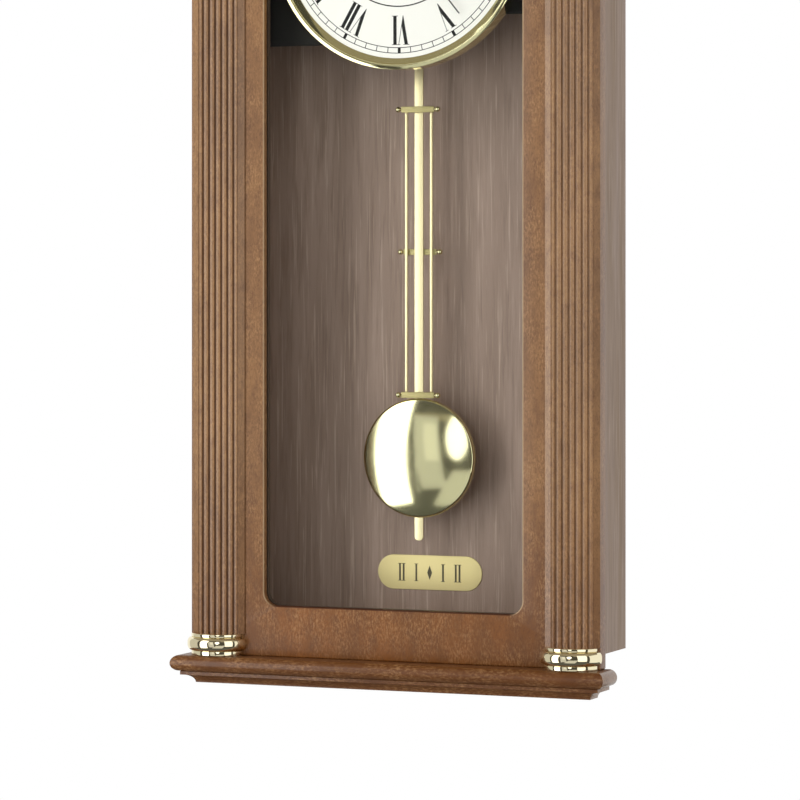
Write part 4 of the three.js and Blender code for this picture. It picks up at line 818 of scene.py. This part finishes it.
def strokes(letter):
    tall, stem, hair = NUMERAL.head - NUMERAL.foot, NUMERAL.stem, NUMERAL.hair

    def serif(left, right, high):
        low = tall - hair if high else 0
        return block(left - NUMERAL.serif, right + NUMERAL.serif, low, low + hair)

    if letter == "I":
        half = stem / 2
        return [block(-half, half, 0, tall), serif(-half, half, True), serif(-half, half, False)]
    wide = HALF_WIDTH[letter]
    heads = [serif(-wide, stem - wide, True), serif(wide - hair, wide, True)]
    if letter == "V":
        fork = (stem - hair) / (2 * wide - hair)
        joint = (hair + (wide - hair) * fork, tall * fork)
        thick = [(0, 0), (hair, 0), joint, (stem - wide, tall), (-wide, tall)]
        thin = [(0, 0), (hair, 0), (wide, tall), (wide - hair, tall)]
        return [thick, thin] + heads
    thick = [(wide - stem, 0), (wide, 0), (stem - wide, tall), (-wide, tall)]
    thin = [(-wide, 0), (hair - wide, 0), (wide, tall), (wide - hair, tall)]
    return [thick, thin] + heads + [serif(wide - stem, wide, False), serif(-wide, hair - wide, False)]


def prism(outline, front, back):
    return skin([[(x, back, z) for x, z in outline], [(x, front, z) for x, z in outline]])


def numerals():
    parts = []
    for hour, text in enumerate(HOURS):
        turn = radians(30 * hour)
        c, s = cos(turn), sin(turn)
        x = -sum(ADVANCE[letter] for letter in text) / 2
        x -= OVERHANG if text[0] == "V" and len(text) > 1 else 0
        for letter in text:
            middle = x + ADVANCE[letter] / 2
            x += ADVANCE[letter]
            for outline in strokes(letter):
                upright = [(middle + across, NUMERAL.foot + up) for across, up in outline]
                turned = [(u * c + w * s, w * c - u * s) for u, w in upright]
                parts.append(prism(turned, DIAL_FRONT - INK, DIAL_FRONT))
    return merged(parts)


numeral_mesh = mesh_of("roman_numerals", *numerals())
finish_piece(numeral_mesh, "case", [DIAL_INK])
print("numerals", len(numeral_mesh.polygons), "faces")

# %% [markdown]
# ## Pendulum
# The rod is a flat brass strip with two thin wires beside it, flat in front, that three crossbars hold.
# Each crossbar is a bar with a small turned finial at both ends. The bob is a spun brass lens with a
# rolled edge. Cubes and spheres would have the size, but not the eased edges that glint, so these are
# lofts and a lathe.

# %% Rod and wires
ROD_LOW, ROD_HIGH = box_mm("pendulum_rod")
ROD_TIP = 3.2
ROD_EASE = 0.25
TIP_STEPS = 16
EASE_MIDDLE = 0.3  # where an eased edge is half-way round, as a share of its size


def rod_outline(inset):
    half = ROD_HIGH.x - inset
    low, high = ROD_LOW.z + inset, ROD_HIGH.z - inset
    tip = [(half * cos(a), low + ROD_TIP - ROD_TIP * sin(a)) for a in arc(TIP_STEPS, 0, 180)]
    return tip + [(-half, high), (half, high)]


def plate(outline_at, back, front, ease):
    levels = [(0, back), (0, front + ease), (ease * EASE_MIDDLE, front + ease * EASE_MIDDLE), (ease, front)]
    return skin([[(x, y, z) for x, z in outline_at(inset)] for inset, y in levels])


rod = mesh_of("pendulum_rod_strip", *plate(rod_outline, ROD_HIGH.y, ROD_LOW.y, ROD_EASE))
finish_piece(rod, "pendulum", [SATIN_BRASS], ["pendulum_rod"])
for side in ("left", "right"):
    low, high = box_mm("wire_" + side)

    def wire_outline(inset):
        return block(low.x + inset, high.x - inset, low.z + inset, high.z - inset)

    wire = mesh_of("pendulum_wire_" + side, *plate(wire_outline, high.y, low.y, ROD_EASE))
    finish_piece(wire, "pendulum", [SATIN_BRASS], ["wire_" + side])
print("rod of", len(rod.polygons), "faces and wires of", len(wire.polygons))

# %% Crossbars
BAR = Sizes(half=13.6, reach=18.3, tall=2.3, ease=0.5, sunk=0.2)
FINIAL = ((0.0, 1.3), (0.5, 1.1), (0.9, 1.0), (1.1, 1.3), (1.3, 1.75), (1.8, 2.1), (2.5, 2.2), (3.2, 2.05),
          (3.8, 1.6), (4.3, 0.9), (4.45, 0.01))  # places along the finial and its radius there
FINIAL_STEPS = 20


def bar_body(low, high, z):
    ease, middle = BAR.ease, BAR.ease * EASE_MIDDLE
    rings = []
    for y, inset in ((high.y, ease), (high.y - ease, 0), (low.y + ease, 0), (low.y + middle, middle),
                     (low.y, ease)):
        half, tall = BAR.half - inset, BAR.tall - inset
        rings.append([(x, y, z + up) for x, up in block(-half, half, -tall, tall)])
    return skin(rings)


def finial(sign, y, z):
    start, length = BAR.half - BAR.sunk, BAR.reach - BAR.half + BAR.sunk
    rings = []
    for along, radius in FINIAL:
        x = sign * (start + length * along / FINIAL[-1][0])
        rings.append([(x, y + radius * cos(a), z + radius * sin(a)) for a in arc(FINIAL_STEPS, 0, 360)[:-1]])
    return skin(rings)


for level in ("upper", "middle", "lower"):
    low, high = box_mm("crossbar_" + level)
    middle = (low + high) / 2
    parts = [bar_body(low, high, middle.z)] + [finial(sign, middle.y, middle.z) for sign in (1, -1)]
    bar = mesh_of("crossbar_turned_" + level, *merged(parts))
    for face in bar.polygons:
        face.material_index = 1 if abs(face.center.x / MM) > BAR.half else 0
    finish_piece(bar, "pendulum", [DULL_BRASS, POLISHED_BRASS], ["crossbar_" + level])
print("three crossbars of", len(bar.polygons), "faces")

# %% Bob
BOB_LOW, BOB_HIGH = box_mm("bob_front_shell")
BOB_RADIUS = (BOB_HIGH.z - BOB_LOW.z) / 2
BOB_CENTRE = (BOB_HIGH.z + BOB_LOW.z) / 2
BOB = Sizes(edge=2.4, crown=radians(17.5), wall=0.8, lip=0.1, rim=0.8, eye=0.005)
BOB_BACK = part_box("bob_back_plate")[1].y / MM + BOB.lip
PENDULUM_PLANE = (ROD_LOW.y + ROD_HIGH.y) / 2
EDGE_STEPS, CROWN_STEPS, BOB_STEPS = 14, 24, 144


def bob_section(inset):
    slope = BOB.crown
    edge, centre, turn = BOB.edge - inset, BOB_RADIUS - BOB.edge, pi / 2 - slope
    ball = (centre + BOB.edge * cos(turn)) / sin(slope)
    ball_centre = PENDULUM_PLANE - BOB.edge * sin(turn) + ball * cos(slope)
    section = [(BOB_RADIUS - inset, BOB_BACK)]
    for k in range(EDGE_STEPS + 1):
        angle = turn * k / EDGE_STEPS
        section.append((centre + edge * cos(angle), PENDULUM_PLANE - edge * sin(angle)))
    for k in reversed(range(CROWN_STEPS)):
        angle, radius = slope * k / CROWN_STEPS, ball - inset
        section.append((max(radius * sin(angle), BOB.eye), ball_centre - radius * cos(angle)))
    return section


shell = bob_section(0) + bob_section(BOB.wall)[::-1]
bob = mesh_of("bob_lens", *skin(lathe(shell, BOB_STEPS, BOB_CENTRE), closed=True))
for face in bob.polygons:
    from_axis = Vector((face.center.x, face.center.z - BOB_CENTRE * MM)).length / MM
    face.material_index = 1 if from_axis > BOB_RADIUS - BOB.edge * BOB.rim else 0
finish_piece(bob, "pendulum", [SPUN_BRASS, POLISHED_BRASS], ["bob_front_shell"], sharp=45)
print("bob", len(bob.polygons), "faces")

# %% [markdown]
# ## Beat plate
# A brushed brass plate on the back panel shows how far the pendulum swings: plain strokes for one and two
# either side of a middle mark. The middle mark here is a simple diamond. The strokes are filled
# engraving. Cut grooves would be too shallow to see, so the fill is a thin prism on the face.

# %% Beat plate
BEAT_LOW, BEAT_HIGH = box_mm("beat_plate")
BEAT_MIDDLE = (BEAT_HIGH.z + BEAT_LOW.z) / 2
BEAT_EASE = 0.45
BEAT_STEPS = 40


def beat_outline(inset):
    half, radius = BEAT_HIGH.x - inset, (BEAT_HIGH.z - BEAT_LOW.z) / 2 - inset
    right = [(half - radius + radius * cos(a), BEAT_MIDDLE + radius * sin(a))
             for a in arc(BEAT_STEPS, -90, 90)]
    return right + [(-x, 2 * BEAT_MIDDLE - z) for x, z in right]


beat = mesh_of("beat_plate_eased", *plate(beat_outline, BEAT_HIGH.y, BEAT_LOW.y, BEAT_EASE))
finish_piece(beat, "case", [BRUSHED_BRASS], ["beat_plate"])
print("beat plate", len(beat.polygons), "faces")

# %% Marks on the beat plate
MARK = Sizes(tall=6.5, stem=0.75, serif=1.5, hair=0.22, depth=0.05)
MARK_PLACES = (-24.5, -21.5, -11, 11, 21.5, 24.5)
DIAMOND = Sizes(half=2.0, tall=5.5)
foot, top = BEAT_MIDDLE - MARK.tall, BEAT_MIDDLE + MARK.tall
marks = []
for x in MARK_PLACES:
    marks.append(block(x - MARK.stem, x + MARK.stem, foot, top))
    for z in (foot, top):
        marks.append(block(x - MARK.serif, x + MARK.serif, z - MARK.hair, z + MARK.hair))
marks.append([(0, BEAT_MIDDLE - DIAMOND.tall), (DIAMOND.half, BEAT_MIDDLE),
              (0, BEAT_MIDDLE + DIAMOND.tall), (-DIAMOND.half, BEAT_MIDDLE)])
fills = [prism(mark, BEAT_LOW.y - MARK.depth, BEAT_LOW.y) for mark in marks]
engraving = mesh_of("beat_marks", *merged(fills))
finish_piece(engraving, "case", [ENGRAVED])
print(len(marks), "strokes in the marks")

# %% [markdown]
# ## Screws
# Slotted round-head screws hold the hinge leaves and the hanger plate. A head is a thin disc with two
# half domes on it, and the gap between them is the slot, so nothing has to be cut. Geometry Nodes copy
# the head to each point and turn it to face out of its plate. The copies come with an empty slot before
# the zinc's and wear that one, so the heads show the renderer's plain grey.

# %% Screw head
SCREW = Sizes(radius=1.9, disc=0.15, dome=0.55, slot=0.45, shoulder=0.95)
DOME = ((0.0, 1.0), (0.5, 0.9), (0.85, 0.65), (1.0, 0.35))  # shares of the dome's height and radius
DOME_STEPS, DISC_STEPS = 12, 24


def half_dome(sign):
    rings = []
    for rise, share in DOME:
        radius = SCREW.radius * SCREW.shoulder * share
        start = degrees(acos(SCREW.slot / 2 / radius))
        z = SCREW.disc + SCREW.dome * rise
        rings.append([(sign * radius * cos(a), sign * radius * sin(a), z)
                      for a in arc(DOME_STEPS, -start, start)])
    return skin(rings)


disc = skin([[(SCREW.radius * cos(a), SCREW.radius * sin(a), z)
              for a in arc(DISC_STEPS, 0, 360)[:-1]] for z in (0.0, SCREW.disc)])
head = put("screw_head", mesh_of("screw_head", *merged([disc, half_dome(1), half_dome(-1)])))
print("screw head", len(head.data.polygons), "faces")

# %% Screws by Geometry Nodes
CASE_LEAF = 5.8  # from a case hinge's outermost point to its leaf's face
CASE_HOLES = ((6, 5), (6, 19), (20, 12))  # from the leaf's back edge and from its lower end
DOOR_LEAF = (3.5, 1.2)  # from the leaf's right edge, and its face behind the door
DOOR_HOLES = (14, 20.5)  # from the leaf's lower end
HANGER_INSET = 5


def screw_tree():
    tree, given = node_group("screws", {"Points": "Geometry", "Head": "Object", "Turn": "Vector"})
    one = add(tree, "GeometryNodeObjectInfo", {"Object": given["Head"]}).outputs["Geometry"]
    copies = add(tree, "GeometryNodeInstanceOnPoints", {
        "Points": given["Points"], "Instance": one, "Rotation": given["Turn"]})
    real = add(tree, "GeometryNodeRealizeInstances", {0: copies})
    add(tree, "NodeGroupOutput", {"Geometry": real})
    return tree


case_points, door_points = [], []
for level in ("upper", "lower"):
    low, high = box_mm("hinge_case_" + level)
    case_points += [(low.x + CASE_LEAF, high.y - back, low.z + up) for back, up in CASE_HOLES]
    low, high = box_mm("hinge_door_" + level)
    door_points += [(high.x - DOOR_LEAF[0], DOOR_BACK + DOOR_LEAF[1], low.z + up) for up in DOOR_HOLES]
low, high = box_mm("hanger_plate")
hanger_points = [(x, low.y, z) for x in (low.x + HANGER_INSET, high.x - HANGER_INSET)
                 for z in (low.z + HANGER_INSET, high.z - HANGER_INSET)]
SCREWS = screw_tree()
for name, body, turn, points in (
        ("case_hinge_screws", "case", (0, -pi / 2, 0), case_points),
        ("door_hinge_screws", "door", (-pi / 2, 0, 0), door_points),
        ("hanger_screws", "case", (pi / 2, 0, 0), hanger_points)):
    screws = grown(name, SCREWS, {"Head": head, "Turn": turn}, mesh_of(name + "_points", points, []))
    finish_piece(screws, body, [ZINC_STEEL])
    print(name, len(points), "screws")
bpy.data.objects.remove(head)

# %% [markdown]
# ## Studio
# A pale floor far below, a white world and four soft lamps. Camera, glossy and transmission rays see the
# white background, while the light that the world itself gives the object stays modest. Ten cards, seen
# only in reflections and through glass, stand for the studio round the camera: without them polished
# brass would mirror nothing but white. The bob mirrors them through the door's glass, so the glass of an
# open door shows them too. A few cards lean, because the reflections in the bob do.

# %% World
AMBIENT = 0.39
world = bpy.data.worlds.new("studio")
world.use_nodes = True
scene.world = world
sky = world.node_tree
sky.nodes.clear()
path = add(sky, "ShaderNodeLightPath").outputs
seen = add(sky, "ShaderNodeMath", {0: path["Is Camera Ray"], 1: path["Is Glossy Ray"]}, operation="MAXIMUM")
seen = add(sky, "ShaderNodeMath", {0: seen, 1: path["Is Transmission Ray"]}, operation="MAXIMUM")
strength = add(sky, "ShaderNodeMapRange", {"Value": seen, "To Min": AMBIENT, "To Max": 1.0})
white = add(sky, "ShaderNodeBackground", {"Color": (1, 1, 1, 1), "Strength": strength})
add(sky, "ShaderNodeOutputWorld", {"Surface": white})
print("world lights the object at", AMBIENT)

# %% Lamps
TARGET = Vector((0, -0.04, -0.25))


def around(azimuth, elevation, distance):
    a, e = radians(azimuth), radians(elevation)
    return TARGET + distance * Vector((sin(a) * cos(e), -cos(a) * cos(e), sin(e)))


def softbox(name, azimuth, elevation, distance, width, height, radiance, shape="RECTANGLE", mirrored=True):
    lamp = bpy.data.lights.new(name, "AREA")
    lamp.shape = shape
    lamp.size, lamp.size_y = width, height
    lamp.energy = radiance * pi * width * height * (1 if shape == "RECTANGLE" else pi / 4)
    holder = put(name, lamp)
    holder.location = around(azimuth, elevation, distance)
    holder.rotation_euler = (TARGET - holder.location).to_track_quat("-Z", "Y").to_euler()
    holder.visible_glossy = holder.visible_transmission = mirrored


softbox("key_softbox", -39.5, 0, 1.7, 0.7, 2.2, 3.0)
softbox("round_softbox", 5.5, 7.5, 2.3, 0.6, 1.2, 2.2, "ELLIPSE")
softbox("side_softbox", 60, 9, 2.2, 1.3, 2.4, 1.15, mirrored=False)
softbox("overhead_softbox", -40, 48, 1.6, 1.2, 1.0, 2.0, mirrored=False)
print(len(bpy.data.lights), "lamps")

# %% Cards
UNSEEN_RAYS = ("camera", "diffuse", "volume_scatter", "shadow")


def sheet(name, corners, material, unseen=()):
    mesh = bpy.data.meshes.new(name)
    mesh.from_pydata([tuple(corner) for corner in corners], [], [(0, 1, 2, 3)])
    mesh.materials.append(material)
    piece = put(name, mesh)
    for rays in unseen:
        setattr(piece, "visible_" + rays, False)


def card(name, azimuth, elevation, distance, width, height, hex_colour, strength=1.0, lean=0.0):
    material, tree, shader, coords = new_material(name + "_cloth")
    glow = add(tree, "ShaderNodeEmission", {"Color": linear(hex_colour), "Strength": strength})
    feed(tree, tree.nodes["output"], {"Surface": glow})
    place = around(azimuth, elevation, distance)
    facing = (TARGET - place).to_track_quat("Z", "Y")
    corners = [place + facing @ Vector(((x * width + lean * y * height) / 2, y * height / 2, 0))
               for x, y in block(-1, 1, -1, 1)]
    sheet(name, corners, material, UNSEEN_RAYS)


card("dark_studio_left", -52, 0, 3.2, 3.7, 7.0, "4e4c48")
card("pale_side_left", -82, 0, 3.0, 2.4, 4.4, "d0d0cc")
card("dark_studio_right", 27, 0, 3.3, 7.4, 7.0, "4e4c48")
card("white_screen", 48, 9, 2.2, 1.3, 2.4, "ffffff", 1.5)
card("grey_wall", -13.7, -1.7, 2.8, 0.84, 2.25, "d2d2d2", lean=0.14)
card("pale_door", -12.0, 4.5, 2.75, 0.43, 1.1, "f4f4f2", lean=0.14)
card("grey_bench", 11, -25.5, 2.6, 1.4, 1.15, "d6d6d4", lean=-0.55)
card("dark_lintel", -6, 30, 2.6, 2.0, 0.75, "4e4c48")
card("dim_ceiling", 0, 80, 1.9, 7.0, 7.0, "9b9282")
card("dark_ground", 0, -89, 1.6, 6.0, 6.0, "5c5c5a")
print("cards round the camera done")

# %% Floor
FLOOR_LEVEL = -1.95
FLOOR_HALF = 3.0
MOTTLE_SCALE = 40.0
floor_paint, tree, shader, coords = new_material("pale_floor_paint")
mottle = add(tree, "ShaderNodeTexNoise", {"Vector": coords, "Scale": MOTTLE_SCALE})
feed(tree, shader, {"Base Color": layered(tree, "f3f3f2", [(mottle, "f7f7f6")]), "Roughness": 0.8})
sheet("floor", [(x, y, FLOOR_LEVEL) for x, y in block(-FLOOR_HALF, FLOOR_HALF, -FLOOR_HALF, FLOOR_HALF)],
      floor_paint)
print("floor at", FLOOR_LEVEL, "m")
